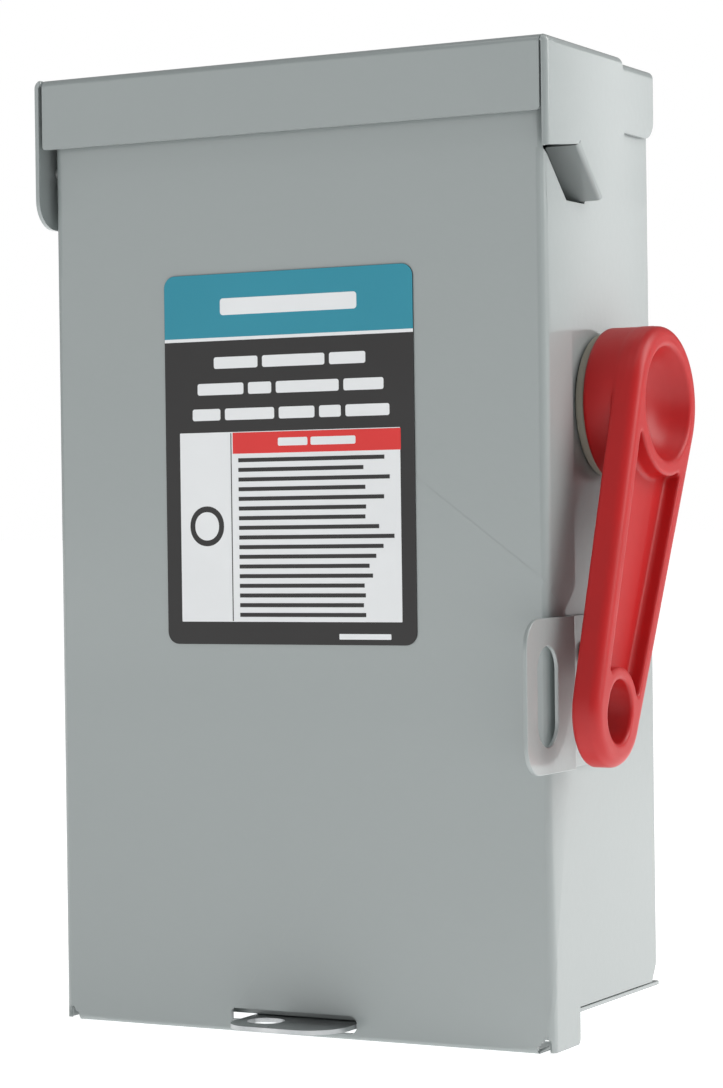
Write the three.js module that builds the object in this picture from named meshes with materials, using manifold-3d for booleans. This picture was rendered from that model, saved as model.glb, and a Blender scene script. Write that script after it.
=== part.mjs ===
// AC disconnect box: a 30 A, two-pole, side-operated safety switch in a rainproof sheet-steel enclosure.
// Millimetres, +X right, +Y towards the wall, +Z up. The origin lies on the back face of the box, at the
// middle of its mounting holes. Inside the assembly group, y = 0 is the front face of the cover and z = 0
// is 130 mm above the cover's lower edge.

import * as THREE from 'three';
import { mergeVertices } from 'three/addons/utils/BufferGeometryUtils.js';
import Module from 'manifold-3d';

const wasm = await Module();
wasm.setup();

// Driving dimensions of the sheet metal.
const DEPTH = 76; // cover face to wall
const SHEET = 1.2;
const GAP = 0.3; // air left between pieces that touch
const COVER_HALF = 76.2; // half of the six-inch cover width
const COVER_BOTTOM = -130;
const COVER_TOP = 124;
const FLANGE_DEPTH = 17;
const FLANGE_TOP = 93.5;
const FLANGE_TIP = { y: 1.2, z: 106.5 }; // front end of the flange's slanted upper edge
const BEND = 2.8; // outer bend radius of the cover
const BODY_HALF = 74.1;
const BODY_BOTTOM = -120.4;
const BODY_FRONT = 3.5;
const HOOD_HALF = 79.6;
const HOOD_TOP = 135.7;
const HOOD_FRONT = -4;
const HOOD_STEP = 45.8; // where the hood narrows to its rear part
const LIP_BOTTOM = 116;
const REAR_HALF = BODY_HALF + GAP + SHEET;
const REAR_FLANGE_BOTTOM = 116.3;
const FACET_INNER = 69.7; // how far in the slanted drip flange reaches
const MOUNT_TOP = 112;
const MOUNT_BOTTOM = -100;

// Cover hinge and its travel.
const HINGE = { y: 4.7, z: 110.2 };
const ROD_RADIUS = 1.6;

// Handle: pivot, tilt from straight down, and travel. It stands level halfway.
const PIVOT = { y: 41.7, z: 40.7 };
const HANDLE_TILT = 23.6;
const HANDLE_TRAVEL = 2 * (90 - HANDLE_TILT);
const HANDLE_LENGTH = 88.4;
const HEAD_RADIUS = 20.9;
const TIP_RADIUS = 14.6;
const HEAD_INNER = 77.2;
const ARM_INNER = 85.9;
const HANDLE_OUTER = 93.5;
const SHAFT_RADIUS = 6;

// Switch rotor: its own axis, driven by the crank pin in a fork.
const ROTOR = { y: 48, z: 19.6 };
const ROTOR_TRAVEL = 60;
const PIN_RADIUS = 3;
const BORE_CLEAR = 0.3;
const POLES = [-26, 22];
const BASE_FRONT = 62.6;
const STRIP_FRONT = BASE_FRONT - GAP - SHEET;

const rad = THREE.MathUtils.degToRad;

const PAINT = 0x9aa4a4;
const COLOURS = {
  paint: { color: PAINT, roughness: 0.42, metalness: 0.1 },
  red: { color: 0xc8202c, roughness: 0.3, metalness: 0 },
  beige: { color: 0xa89f8c, roughness: 0.6, metalness: 0 },
  zinc: { color: 0xb9bcbf, roughness: 0.35, metalness: 0.9 },
  copper: { color: 0xb87348, roughness: 0.35, metalness: 0.95 },
  aluminium: { color: 0xc3c6c9, roughness: 0.4, metalness: 0.9 },
  black: { color: 0x1c1d1f, roughness: 0.55, metalness: 0 },
  fibre: { color: 0x5a5d60, roughness: 0.8, metalness: 0 },
  label: { color: 0x1e8a9c, roughness: 0.5, metalness: 0 },
  card: { color: 0xe9e7df, roughness: 0.8, metalness: 0 },
};

// ---------- geometry helpers ----------

const toSolid = (geometry) => {
  const bare = geometry.clone();
  bare.deleteAttribute('normal');
  bare.deleteAttribute('uv');
  const merged = mergeVertices(bare, 1e-4);
  const vertProperties = new Float32Array(merged.attributes.position.array);
  const triVerts = new Uint32Array(merged.index.array);
  return new wasm.Manifold(new wasm.Mesh({ numProp: 3, vertProperties, triVerts }));
};

const toGeometry = (solid) => {
  const mesh = solid.getMesh();
  const geometry = new THREE.BufferGeometry();
  geometry.setAttribute('position', new THREE.BufferAttribute(new Float32Array(mesh.vertProperties), 3));
  geometry.setIndex(new THREE.BufferAttribute(new Uint32Array(mesh.triVerts), 1));
  geometry.computeVertexNormals();
  return geometry;
};

const box = ([x0, x1], [y0, y1], [z0, z1]) => {
  const geometry = new THREE.BoxGeometry(x1 - x0, y1 - y0, z1 - z0);
  geometry.translate((x0 + x1) / 2, (y0 + y1) / 2, (z0 + z1) / 2);
  return toSolid(geometry);
};

// A closed outline through points [a, b, radius]; each corner is rounded by its radius.
const outline = (points) => {
  const shape = new THREE.Shape();
  const count = points.length;
  points.forEach(([a, b, radius = 0], i) => {
    const here = new THREE.Vector2(a, b);
    if (!radius) {
      if (i === 0) shape.moveTo(a, b);
      else shape.lineTo(a, b);
      return;
    }
    const before = new THREE.Vector2(...points[(i + count - 1) % count]).sub(here).normalize();
    const after = new THREE.Vector2(...points[(i + 1) % count]).sub(here).normalize();
    const corner = Math.acos(THREE.MathUtils.clamp(before.dot(after), -1, 1));
    const reach = radius / Math.tan(corner / 2);
    const handle = reach - (4 / 3) * Math.tan((Math.PI - corner) / 4) * radius;
    const start = before.clone().multiplyScalar(reach).add(here);
    const end = after.clone().multiplyScalar(reach).add(here);
    const c1 = before.clone().multiplyScalar(handle).add(here);
    const c2 = after.clone().multiplyScalar(handle).add(here);
    if (i === 0) shape.moveTo(start.x, start.y);
    else shape.lineTo(start.x, start.y);
    shape.bezierCurveTo(c1.x, c1.y, c2.x, c2.y, end.x, end.y);
  });
  shape.closePath();
  return shape;
};

const rectangle = (a0, a1, b0, b1, radius = 0) =>
  outline([[a0, b0, radius], [a1, b0, radius], [a1, b1, radius], [a0, b1, radius]]);

// A slot with round ends between two centres; the radii may differ.
const capsule = (a0, b0, r0, a1, b1, r1) => {
  const length = Math.hypot(a1 - a0, b1 - b0);
  const along = Math.atan2(b1 - b0, a1 - a0);
  const lean = Math.acos((r0 - r1) / length);
  const shape = new THREE.Shape();
  shape.absarc(a0, b0, r0, along + lean, along - lean + 2 * Math.PI);
  shape.absarc(a1, b1, r1, along - lean, along + lean);
  shape.closePath();
  return shape;
};

const AXES = {
  x: [new THREE.Vector3(0, 1, 0), new THREE.Vector3(0, 0, 1), new THREE.Vector3(1, 0, 0)],
  y: [new THREE.Vector3(0, 0, 1), new THREE.Vector3(1, 0, 0), new THREE.Vector3(0, 1, 0)],
  z: [new THREE.Vector3(1, 0, 0), new THREE.Vector3(0, 1, 0), new THREE.Vector3(0, 0, 1)],
};

// Pushes an outline from low to high along an axis. The outline's two coordinates are (y, z) for x,
// (z, x) for y and (x, y) for z.
const push = (axis, shape, low, high, { bevel = 0, steps = 5 } = {}) => {
  const geometry = new THREE.ExtrudeGeometry(shape, {
    depth: high - low - 2 * bevel,
    curveSegments: steps,
    bevelEnabled: bevel > 0,
    bevelThickness: bevel,
    bevelSize: bevel,
    bevelSegments: 2,
  });
  geometry.translate(0, 0, low + bevel);
  geometry.applyMatrix4(new THREE.Matrix4().makeBasis(...AXES[axis]));
  return toSolid(geometry);
};

// A body of revolution about an axis through (a, b); the profile is [radius, position along the axis].
const turn = (axis, profile, a = 0, b = 0, segments = 20) => {
  const geometry = new THREE.LatheGeometry(profile.map(([r, h]) => new THREE.Vector2(r, h)), segments);
  geometry.rotateX(Math.PI / 2);
  geometry.translate(a, b, 0);
  geometry.applyMatrix4(new THREE.Matrix4().makeBasis(...AXES[axis]));
  return toSolid(geometry);
};

const cylinder = (axis, radius, low, high, a = 0, b = 0, segments = 20) =>
  turn(axis, [[0, low], [radius, low], [radius, high], [0, high]], a, b, segments);

const joined = (first, ...rest) => rest.reduce((whole, solid) => whole.add(solid), first);
const cut = (first, ...rest) => rest.reduce((whole, solid) => whole.subtract(solid), first);

const group = new THREE.Group();
const assembly = new THREE.Group();
assembly.position.set(0, -DEPTH, -(MOUNT_TOP + MOUNT_BOTTOM) / 2);
group.add(assembly);

const addNode = (name, solid, look, parent = assembly) => {
  const mesh = new THREE.Mesh(toGeometry(solid), new THREE.MeshStandardMaterial(COLOURS[look]));
  mesh.name = name;
  parent.add(mesh);
  return mesh;
};

// ---------- enclosure ----------

const KNOCKOUTS = [
  { name: 'knockout_bottom_left', x: -38, y: 42, radius: 11 },
  { name: 'knockout_bottom_middle', x: 0, y: 42, radius: 14 },
  { name: 'knockout_bottom_right', x: 38, y: 42, radius: 11 },
];
const REAR_KNOCKOUT = { x: 36, z: -76, radius: 11 };

const buildBody = () => {
  const top = HOOD_TOP - SHEET - GAP;
  const back = box([-BODY_HALF, BODY_HALF], [DEPTH - SHEET, DEPTH], [BODY_BOTTOM, top]);
  const side = outline([
    [BODY_FRONT, BODY_BOTTOM],
    [DEPTH - 5, BODY_BOTTOM],
    [DEPTH, BODY_BOTTOM + 6],
    [DEPTH, top],
    [31.2, top],
    [31.2, 92.8],
    [9, 92.8],
    [BODY_FRONT, 86],
  ]);
  const walls = [-BODY_HALF, BODY_HALF - SHEET].map((x) => push('x', side, x, x + SHEET));
  const keyhole = joined(
    cylinder('y', 5, DEPTH - 5, DEPTH + 5, MOUNT_TOP - 9, 0),
    push('y', capsule(MOUNT_TOP - 9, 0, 2.8, MOUNT_TOP, 0, 2.801), DEPTH - 5, DEPTH + 5),
  );
  const slots = [-45, 45].map((x) =>
    push('y', capsule(MOUNT_BOTTOM, x - 3, 2.8, MOUNT_BOTTOM, x + 3, 2.801), DEPTH - 5, DEPTH + 5));
  const shaftHole = cylinder('x', SHAFT_RADIUS + 0.6, 70, 76, PIVOT.y, PIVOT.z);
  const rearHole = cylinder('y', REAR_KNOCKOUT.radius + GAP, 70, 80, REAR_KNOCKOUT.z, REAR_KNOCKOUT.x);
  const body = cut(joined(back, ...walls), keyhole, ...slots, shaftHole, rearHole);
  addNode('enclosure_body', body, 'paint');
  addNode(
    'knockout_rear',
    cylinder('y', REAR_KNOCKOUT.radius, DEPTH - SHEET, DEPTH, REAR_KNOCKOUT.z, REAR_KNOCKOUT.x),
    'paint',
  );
};

const WALL_TOP = BODY_BOTTOM - GAP;
const WALL_BOTTOM = WALL_TOP - SHEET;

const buildBottom = () => {
  const inner = BODY_HALF - SHEET - GAP;
  const rise = WALL_TOP + 11;
  const plate = box([-BODY_HALF, BODY_HALF], [4.5, DEPTH], [WALL_BOTTOM, WALL_TOP]);
  const sides = [-inner, inner - SHEET].map((x) => box([x, x + SHEET], [10, 66], [WALL_BOTTOM, rise]));
  const rear = box([-60, 60], [DEPTH - 2 * SHEET - GAP, DEPTH - SHEET - GAP], [WALL_BOTTOM, rise]);
  const front = box([-BODY_HALF, BODY_HALF], [4.5, 4.5 + SHEET], [-125.4, WALL_TOP]);
  const holes = KNOCKOUTS.map(({ x, y, radius }) => cylinder('z', radius + GAP, -130, -115, x, y));
  addNode('bottom_end_wall', cut(joined(plate, ...sides, rear, front), ...holes), 'paint');
  for (const { name, x, y, radius } of KNOCKOUTS) {
    addNode(name, cylinder('z', radius, WALL_BOTTOM, WALL_TOP, x, y), 'paint');
  }
};

// Padlock tab that comes forward through the slot at the bottom of the cover.
const TAB = { left: -16.4, right: 17.5, front: -14.8, top: -125.6, root: 7.2 };

const buildCoverHasp = () => {
  const shape = outline([
    [TAB.left, TAB.front, 8],
    [TAB.right, TAB.front, 11],
    [TAB.right, TAB.root],
    [TAB.left, TAB.root],
  ]);
  const tongue = push('z', shape, TAB.top - SHEET, TAB.top);
  const height = [TAB.top - SHEET, WALL_BOTTOM - GAP];
  const leg = box([TAB.left, TAB.right], [TAB.root - SHEET, TAB.root], height);
  const eye = push('z', rectangle(-13.2, -3.0, -8.6, 0.6, 4.2), -130, -120);
  addNode('cover_hasp', cut(joined(tongue, leg), eye), 'zinc');
};

// ---------- hood ----------

const HUB = { y: 50, halfX: 28, halfY: 24, opening: 20, screwX: 22, screwY: 18 };
const DRIP = { plate: 106.6, start: [15.6, 108.6], end: [29.8, 95.2] };

const screwCorners = [-1, 1].flatMap((sx) =>
  [-1, 1].map((sy) => [sx * HUB.screwX, HUB.y + sy * HUB.screwY]));

const buildHood = () => {
  const under = HOOD_TOP - SHEET;
  const back = HOOD_FRONT + SHEET;
  const front = outline([
    [HOOD_FRONT, LIP_BOTTOM],
    [back, LIP_BOTTOM],
    [back, under, 1],
    [HOOD_STEP, under],
    [HOOD_STEP, HOOD_TOP],
    [HOOD_FRONT, HOOD_TOP, 2.2],
  ]);
  const leftSide = outline([
    [HOOD_FRONT, 94, 8],
    [29, 94, 2],
    [HOOD_STEP, 111.6],
    [HOOD_STEP, HOOD_TOP, 4],
    [HOOD_FRONT, HOOD_TOP, 2.2],
  ]);
  const rightSide = outline([
    [HOOD_FRONT, DRIP.plate],
    DRIP.start,
    [...DRIP.end, 1],
    [HOOD_STEP, 111.6],
    [HOOD_STEP, HOOD_TOP, 4],
    [HOOD_FRONT, HOOD_TOP, 2.2],
  ]);
  const slope = new THREE.Vector2(DRIP.end[0] - DRIP.start[0], DRIP.end[1] - DRIP.start[1]).normalize();
  const inward = [-slope.y * SHEET, slope.x * SHEET];
  const drip = outline([
    DRIP.start,
    DRIP.end,
    [DRIP.end[0] + inward[0], DRIP.end[1] + inward[1]],
    [DRIP.start[0] + inward[0], DRIP.start[1] + inward[1]],
  ]);
  const rearSide = outline([
    [HOOD_STEP + 0.8, REAR_FLANGE_BOTTOM, 1],
    [DEPTH, REAR_FLANGE_BOTTOM, 6],
    [DEPTH, HOOD_TOP],
    [HOOD_STEP + 0.8, HOOD_TOP],
  ]);
  const opening = cylinder('z', HUB.opening, 130, 140, 0, HUB.y);
  const screwHoles = screwCorners.map(([x, y]) => cylinder('z', 2.1, 130, 140, x, y, 12));
  const hood = joined(
    push('x', front, -HOOD_HALF, HOOD_HALF),
    push('x', leftSide, -HOOD_HALF, -HOOD_HALF + SHEET),
    push('x', rightSide, HOOD_HALF - SHEET, HOOD_HALF),
    push('x', drip, FACET_INNER, HOOD_HALF),
    box([-REAR_HALF, REAR_HALF], [HOOD_STEP - 1, DEPTH], [under, HOOD_TOP]),
    ...[-REAR_HALF, REAR_HALF - SHEET].map((x) => push('x', rearSide, x, x + SHEET)),
  );
  addNode('top_hood', cut(hood, opening, ...screwHoles), 'paint');
};

const buildHub = () => {
  const low = HOOD_TOP + GAP;
  const shape = rectangle(-HUB.halfX, HUB.halfX, HUB.y - HUB.halfY, HUB.y + HUB.halfY, 5);
  const plate = push('z', shape, low, low + SHEET);
  const holes = screwCorners.map(([x, y]) => cylinder('z', 2.1, 130, 140, x, y, 12));
  addNode('hub_plate', cut(plate, ...holes), 'paint');
  screwCorners.forEach(([x, y], i) => {
    const head = low + SHEET + GAP;
    const profile = [
      [0, head - 6.2], [1.8, head - 6.2], [1.8, head],
      [3.6, head], [3.6, head + 1.2], [2.4, head + 2.2], [0, head + 2.2],
    ];
    addNode(`hub_screw_${i + 1}`, turn('z', profile, x, y, 14), 'zinc');
  });
};

// ---------- handle side ----------

const HASP = { outer: 79.2, front: -20.3, top: -15.6, bottom: -56, rear: 33 };

const buildHandleHasp = () => {
  const seat = BODY_HALF + GAP;
  const bend = outline([
    [HASP.outer, HASP.front],
    [HASP.outer, 10],
    [seat + SHEET, 14],
    [seat + SHEET, HASP.rear],
    [seat, HASP.rear],
    [seat, 13.5],
    [HASP.outer - SHEET, 9.6],
    [HASP.outer - SHEET, HASP.front],
  ]);
  const face = outline([
    [HASP.front, HASP.bottom, 8],
    [HASP.rear, HASP.bottom, 4],
    [HASP.rear, HASP.top, 4],
    [HASP.front, HASP.top, 8],
  ]);
  const sheet = push('z', bend, HASP.bottom, HASP.top).intersect(push('x', face, 70, 84));
  const slot = push('x', capsule(-7.3, -42.7, 6.3, -7.3, -29.1, 6.301), 70, 84);
  addNode('handle_hasp', cut(sheet, slot), 'paint');
  [-26, -46].forEach((z, i) => {
    const low = seat + SHEET + GAP;
    addNode(
      `hasp_rivet_${i + 1}`,
      turn('x', [[0, low], [3.4, low], [3.1, low + 0.8], [1.8, low + 1.5], [0, low + 1.7]], 24, z, 16),
      'paint',
    );
  });
};

const buildHandleRing = () => {
  const low = BODY_HALF + GAP;
  const high = HEAD_INNER - GAP;
  const profile = [[8, low], [19.4, low], [19.4, high - 0.5], [18.9, high], [8, high], [8, low]];
  addNode('handle_ring', turn('x', profile, PIVOT.y, PIVOT.z, 32), 'beige');
};

const pivotGroup = new THREE.Group();
pivotGroup.position.set(0, PIVOT.y, PIVOT.z);
assembly.add(pivotGroup);

// The handle is drawn hanging straight down and then tilted forward to its OFF stop.
const buildHandle = () => {
  const rim = 2;
  const tip = -HANDLE_LENGTH;
  const flank = capsule(0, 0, HEAD_RADIUS - rim, 0, tip, TIP_RADIUS - rim);
  const arm = push('x', flank, ARM_INNER, HANDLE_OUTER, { bevel: rim, steps: 9 });
  const head = cylinder('x', HEAD_RADIUS - 0.4, HEAD_INNER, HANDLE_OUTER - 3.5, 0, 0, 32);
  const over = HANDLE_OUTER + 2;
  const dish = turn('x', [
    [0, 82.8], [5, 83.1], [9.6, 85], [12.8, 88], [14.8, 91.4], [15.6, HANDLE_OUTER], [15.6, over], [0, over],
  ], 0, 0, 28);
  const narrow = (along) => HEAD_RADIUS - 5.6 - (HEAD_RADIUS - TIP_RADIUS) * (along / HANDLE_LENGTH);
  const pocket = outline([
    [-narrow(12), -12],
    [narrow(12), -12],
    [narrow(84), -84],
    [-narrow(84), -84],
  ]);
  const hollow = cut(
    push('x', pocket, HANDLE_OUTER - 5, over),
    cylinder('x', 20, 80, 100, 0, 0, 40),
    cylinder('x', 12, 80, 100, 0, tip, 28),
  );
  const eye = push('x', capsule(0, tip - 0.9, 7.5, 0, tip + 0.9, 7.501), 80, 100);
  const socket = cylinder('x', SHAFT_RADIUS + BORE_CLEAR, 70, 81, 0, 0);
  const handle = addNode('handle', cut(joined(arm, head), dish, hollow, eye, socket), 'red', pivotGroup);
  handle.rotation.x = -rad(HANDLE_TILT);
};

// The crank's throw makes the fork turn ROTOR_TRAVEL while the handle turns HANDLE_TRAVEL.
const SPREAD = Math.hypot(PIVOT.y - ROTOR.y, PIVOT.z - ROTOR.z);
const MIDWAY = THREE.MathUtils.radToDeg(Math.atan2(PIVOT.z - ROTOR.z, PIVOT.y - ROTOR.y));
const HALF_HANDLE = rad(HANDLE_TRAVEL / 2);
const HALF_ROTOR = Math.tan(rad(ROTOR_TRAVEL / 2));
const THROW = (SPREAD * HALF_ROTOR) / (Math.sin(HALF_HANDLE) - HALF_ROTOR * Math.cos(HALF_HANDLE));
const CRANK_PLATE = { low: 63, high: 66 };
const FORK_PLATE = { low: 57.2, high: 60.2 };

const buildDrive = () => {
  const shaft = cylinder('x', SHAFT_RADIUS, FORK_PLATE.high + 0.6, 80.7, 0, 0);
  addNode('handle_shaft', shaft, 'zinc', pivotGroup);
  const bore = cylinder('x', SHAFT_RADIUS + BORE_CLEAR, 55, 75, 0, 0);
  const crankArm = push('x', capsule(0, 0, 10, 0, THROW, 5.5), CRANK_PLATE.low, CRANK_PLATE.high);
  const crankPin = cylinder('x', PIN_RADIUS, FORK_PLATE.low, CRANK_PLATE.high - 1, 0, THROW);
  const crank = addNode('drive_crank', cut(joined(crankArm, crankPin), bore), 'zinc', pivotGroup);
  crank.rotation.x = rad(MIDWAY + HANDLE_TRAVEL / 2 - 90);
  // The hook is drawn as it stands at ON, reaching forward to hold the cover's catch.
  const hub = cylinder('x', 9.5, 67, 69.5, 0, 0);
  const reach = outline([[-29, -8], [0, -8], [0, -3.5], [-24.5, -3.5], [-24.5, 4], [-29, 4]]);
  const finger = push('x', reach, 67, 69.5);
  const hook = addNode('interlock_hook', cut(joined(hub, finger), bore), 'zinc', pivotGroup);
  hook.rotation.x = rad(HANDLE_TRAVEL);
};

// ---------- switch ----------

const drill = (z, x) => cylinder('y', 2.4, 50, 72, z, x, 12);
const LINE_SCREW_Z = 80;
const LOAD_SCREW_Z = -26;
const BASE_SCREWS = [{ x: -44, z: 88 }, { x: 42, z: -34 }];

const screwY = (seat, headRadius, length, z, x) => {
  const profile = [
    [0, seat - 2.8], [headRadius * 0.75, seat - 2.8], [headRadius, seat - 2], [headRadius, seat],
    [2, seat], [2, seat + length], [0, seat + length],
  ];
  return turn('y', profile, z, x, 14);
};

const buildBase = () => {
  const block = box([-54, 50], [BASE_FRONT, DEPTH - SHEET - GAP], [-42, 96]);
  const barrier = box([-3.5, -0.5], [44, BASE_FRONT + 1], [66, 94]);
  const ends = [-54, 46].map((x) => box([x, x + 4], [56, BASE_FRONT + 1], [66, 94]));
  const holes = POLES.flatMap((x) => [drill(LINE_SCREW_Z, x), drill(LOAD_SCREW_Z, x)]);
  const fixings = BASE_SCREWS.map(({ x, z }) => drill(z, x));
  addNode('switch_base', cut(joined(block, barrier, ...ends), ...holes, ...fixings), 'black');
  BASE_SCREWS.forEach(({ x, z }, i) => {
    addNode(`base_screw_${i + 1}`, screwY(BASE_FRONT - GAP, 4, 8, z, x), 'zinc');
  });
};

// A copper strip with two spring fingers that hug the blade, and its wire clamp and screw.
const buildContact = (kind, pole, x, { strip, fingers, screwZ, bore }) => {
  const seat = box([x - 7, x + 7], [STRIP_FRONT, STRIP_FRONT + SHEET], strip);
  const pair = [-2.5, 1.3].map((side) =>
    push('x', rectangle(42, STRIP_FRONT + 0.5, fingers[0], fingers[1]), x + side, x + side + 1.2));
  const solid = cut(joined(seat, ...pair), drill(screwZ, x), ...bore);
  addNode(`${kind}_contact_${pole}`, solid, 'copper');
  const clampFront = STRIP_FRONT - 4.4;
  const clamp = cut(
    box([x - 6, x + 6], [clampFront, clampFront + 1.8], [screwZ - 6, screwZ + 6]),
    cylinder('y', 2.4, 50, 62, screwZ, x, 12),
  );
  addNode(`${kind}_clamp_${pole}`, clamp, 'zinc');
  addNode(`${kind}_screw_${pole}`, screwY(clampFront - GAP, 4.2, 13, screwZ, x), 'zinc');
};

const buildContacts = () => {
  const pinBore = cylinder('x', PIN_RADIUS + BORE_CLEAR, -60, 70, ROTOR.y, ROTOR.z);
  const line = { strip: [50, 90], fingers: [51, 64], screwZ: LINE_SCREW_Z, bore: [] };
  const load = { strip: [-38, 28], fingers: [12, 27], screwZ: LOAD_SCREW_Z, bore: [pinBore] };
  POLES.forEach((x, i) => {
    buildContact('line', i + 1, x, line);
    buildContact('load', i + 1, x, load);
  });
};

const buildPivotFrame = () => {
  const pinBore = cylinder('x', PIN_RADIUS + BORE_CLEAR, -60, 70, ROTOR.y, ROTOR.z);
  const shape = outline([[BASE_FRONT - GAP, 6], [BASE_FRONT - GAP, 31], [42, 27, 4], [42, 12, 4]]);
  [['left', -50.5], ['right', 47]].forEach(([side, x]) => {
    addNode(`pivot_bracket_${side}`, cut(push('x', shape, x, x + 2.5), pinBore), 'zinc');
  });
  addNode('pivot_rod', cylinder('x', PIN_RADIUS, -51.5, FORK_PLATE.high + 0.4, ROTOR.y, ROTOR.z), 'zinc');
};

const rotorGroup = new THREE.Group();
rotorGroup.position.set(0, ROTOR.y, ROTOR.z);
rotorGroup.rotation.x = rad(ROTOR_TRAVEL);
assembly.add(rotorGroup);

// The rotor is drawn as it stands at ON, with its blades upright, and then turned back to OFF.
const buildRotor = () => {
  const bore = cylinder('x', PIN_RADIUS + BORE_CLEAR, -60, 70, 0, 0);
  const bar = push('x', rectangle(-10, 5, 19, 29, 1.5), -45.5, 56.9);
  const arms = [-45.5, 51.5].map((x) => push('x', capsule(0, 0, 6.5, 0, 20, 4.5), x, x + 5.4));
  const slots = POLES.map((x) => box([x - 0.9 - GAP, x + 0.9 + GAP], [-5.3, 6], [10, 40]));
  addNode('crossbar', cut(joined(bar, ...arms), bore, ...slots), 'black', rotorGroup);
  POLES.forEach((x, i) => {
    const tab = outline([[-5, -5, 4.5], [5, -5, 4.5], [5, 44, 2], [-5, 44, 2]]);
    addNode(`blade_${i + 1}`, cut(push('x', tab, x - 0.9, x + 0.9), bore), 'copper', rotorGroup);
  });
  const reachFar = SPREAD + THROW;
  const reachNear = Math.sqrt(SPREAD ** 2 + THROW ** 2 + 2 * SPREAD * THROW * Math.cos(HALF_HANDLE));
  const half = PIN_RADIUS + 0.6;
  const lever = push('x', capsule(0, 0, 8, 0, reachFar + 1, 6.8), FORK_PLATE.low, FORK_PLATE.high);
  const slot = push('x', capsule(0, reachNear - 0.6, half, 0, reachFar + 0.6, half + 0.001), 50, 65);
  const fork = addNode('fork_lever', cut(lever, slot, bore), 'zinc', rotorGroup);
  fork.rotation.x = rad(MIDWAY - ROTOR_TRAVEL / 2 - 90);
};

const buildShield = () => {
  const plate = box([-53, 45.5], [39, 40.2], [69, 99]);
  const legs = [-53, 44.3].map((x) => box([x, x + 1.2], [39, 55.7], [69, 99]));
  addNode('line_shield', joined(plate, ...legs), 'fibre');
};

const buildGroundBar = () => {
  const places = [-56, -44, -32, -20];
  const holes = places.map((x) => cylinder('y', 2.3, 60, 73, -78, x, 12));
  const bar = box([-63, -13], [65.5, DEPTH - SHEET - GAP], [-82.5, -73.5]);
  addNode('ground_bar', cut(bar, ...holes), 'aluminium');
  places.forEach((x, i) => {
    addNode(`ground_screw_${i + 1}`, screwY(65.5 - GAP, 3.2, 6, -78, x), 'zinc');
  });
};

// ---------- cover ----------

const SLOT = { left: -21.3, right: 17.9, bottom: -128.3, top: -123.4 };
const NOTCH = { top: -8.2, bottom: -62.5, depth: 10.6 };
const CATCH = { low: 66.6, high: 71 };

const buildCover = () => {
  const inner = COVER_HALF - SHEET;
  const pan = outline([
    [-COVER_HALF, 0, BEND],
    [COVER_HALF, 0, BEND],
    [COVER_HALF, FLANGE_DEPTH, 0.5],
    [inner, FLANGE_DEPTH, 0.5],
    [inner, SHEET, BEND - SHEET],
    [-inner, SHEET, BEND - SHEET],
    [-inner, FLANGE_DEPTH, 0.5],
    [-COVER_HALF, FLANGE_DEPTH, 0.5],
  ]);
  const shell = push('z', pan, COVER_BOTTOM + 1.6, FLANGE_TIP.z, { steps: 4 });
  const face = box([-COVER_HALF + BEND, COVER_HALF - BEND], [0, SHEET], [COVER_BOTTOM, COVER_TOP]);
  const shoulders = box([-COVER_HALF + 0.8, COVER_HALF - 0.8], [0, SHEET], [FLANGE_TIP.z - 1, COVER_TOP]);
  const foot = box([-COVER_HALF + BEND, COVER_HALF - BEND], [0, 14], [COVER_BOTTOM, COVER_BOTTOM + SHEET]);
  const slot = box([SLOT.left, SLOT.right], [-5, 5], [SLOT.bottom, SLOT.top]);
  const relief = box([SLOT.left - 2, SLOT.right + 2], [3.5, 20], [COVER_BOTTOM - 5, COVER_BOTTOM + 5]);
  const notch = push('x', outline([
    [FLANGE_DEPTH + 3, NOTCH.top + 4],
    [FLANGE_DEPTH, NOTCH.top, 2],
    [NOTCH.depth, -14, 2],
    [NOTCH.depth + 0.6, -58.5, 2],
    [FLANGE_DEPTH, NOTCH.bottom, 2],
    [FLANGE_DEPTH + 3, NOTCH.bottom - 4],
  ]), 70, 80);
  const corners = [-1, 1].map((side) => push('x', outline([
    [FLANGE_DEPTH + 2, FLANGE_TOP - 4],
    [FLANGE_DEPTH, FLANGE_TOP - 2],
    [FLANGE_DEPTH - 2, FLANGE_TOP],
    [FLANGE_TIP.y, FLANGE_TIP.z],
    [FLANGE_TIP.y, FLANGE_TIP.z + 5],
    [FLANGE_DEPTH + 2, FLANGE_TIP.z + 5],
  ]), side > 0 ? 70 : -80, side > 0 ? 80 : -70));
  addNode('cover', cut(joined(shell, face, shoulders, foot), slot, relief, notch, ...corners), 'paint');
};

const buildHinge = () => {
  addNode('hinge_rod', cylinder('x', ROD_RADIUS, -HOOD_HALF + SHEET + GAP, HOOD_HALF - SHEET - GAP,
    HINGE.y, HINGE.z, 16), 'zinc');
  const inside = ROD_RADIUS + 0.4;
  const outside = inside + SHEET;
  const curl = new THREE.Shape();
  curl.moveTo(HINGE.y - outside, 96);
  curl.absarc(HINGE.y, HINGE.z, outside, Math.PI, -Math.PI / 3, true);
  curl.absarc(HINGE.y, HINGE.z, inside, -Math.PI / 3, Math.PI, false);
  curl.lineTo(HINGE.y - inside, 96);
  curl.closePath();
  [['left', -52], ['right', 38]].forEach(([side, x]) => {
    addNode(`cover_hook_${side}`, push('x', curl, x, x + 14, { steps: 6 }), 'paint');
  });
};

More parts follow.
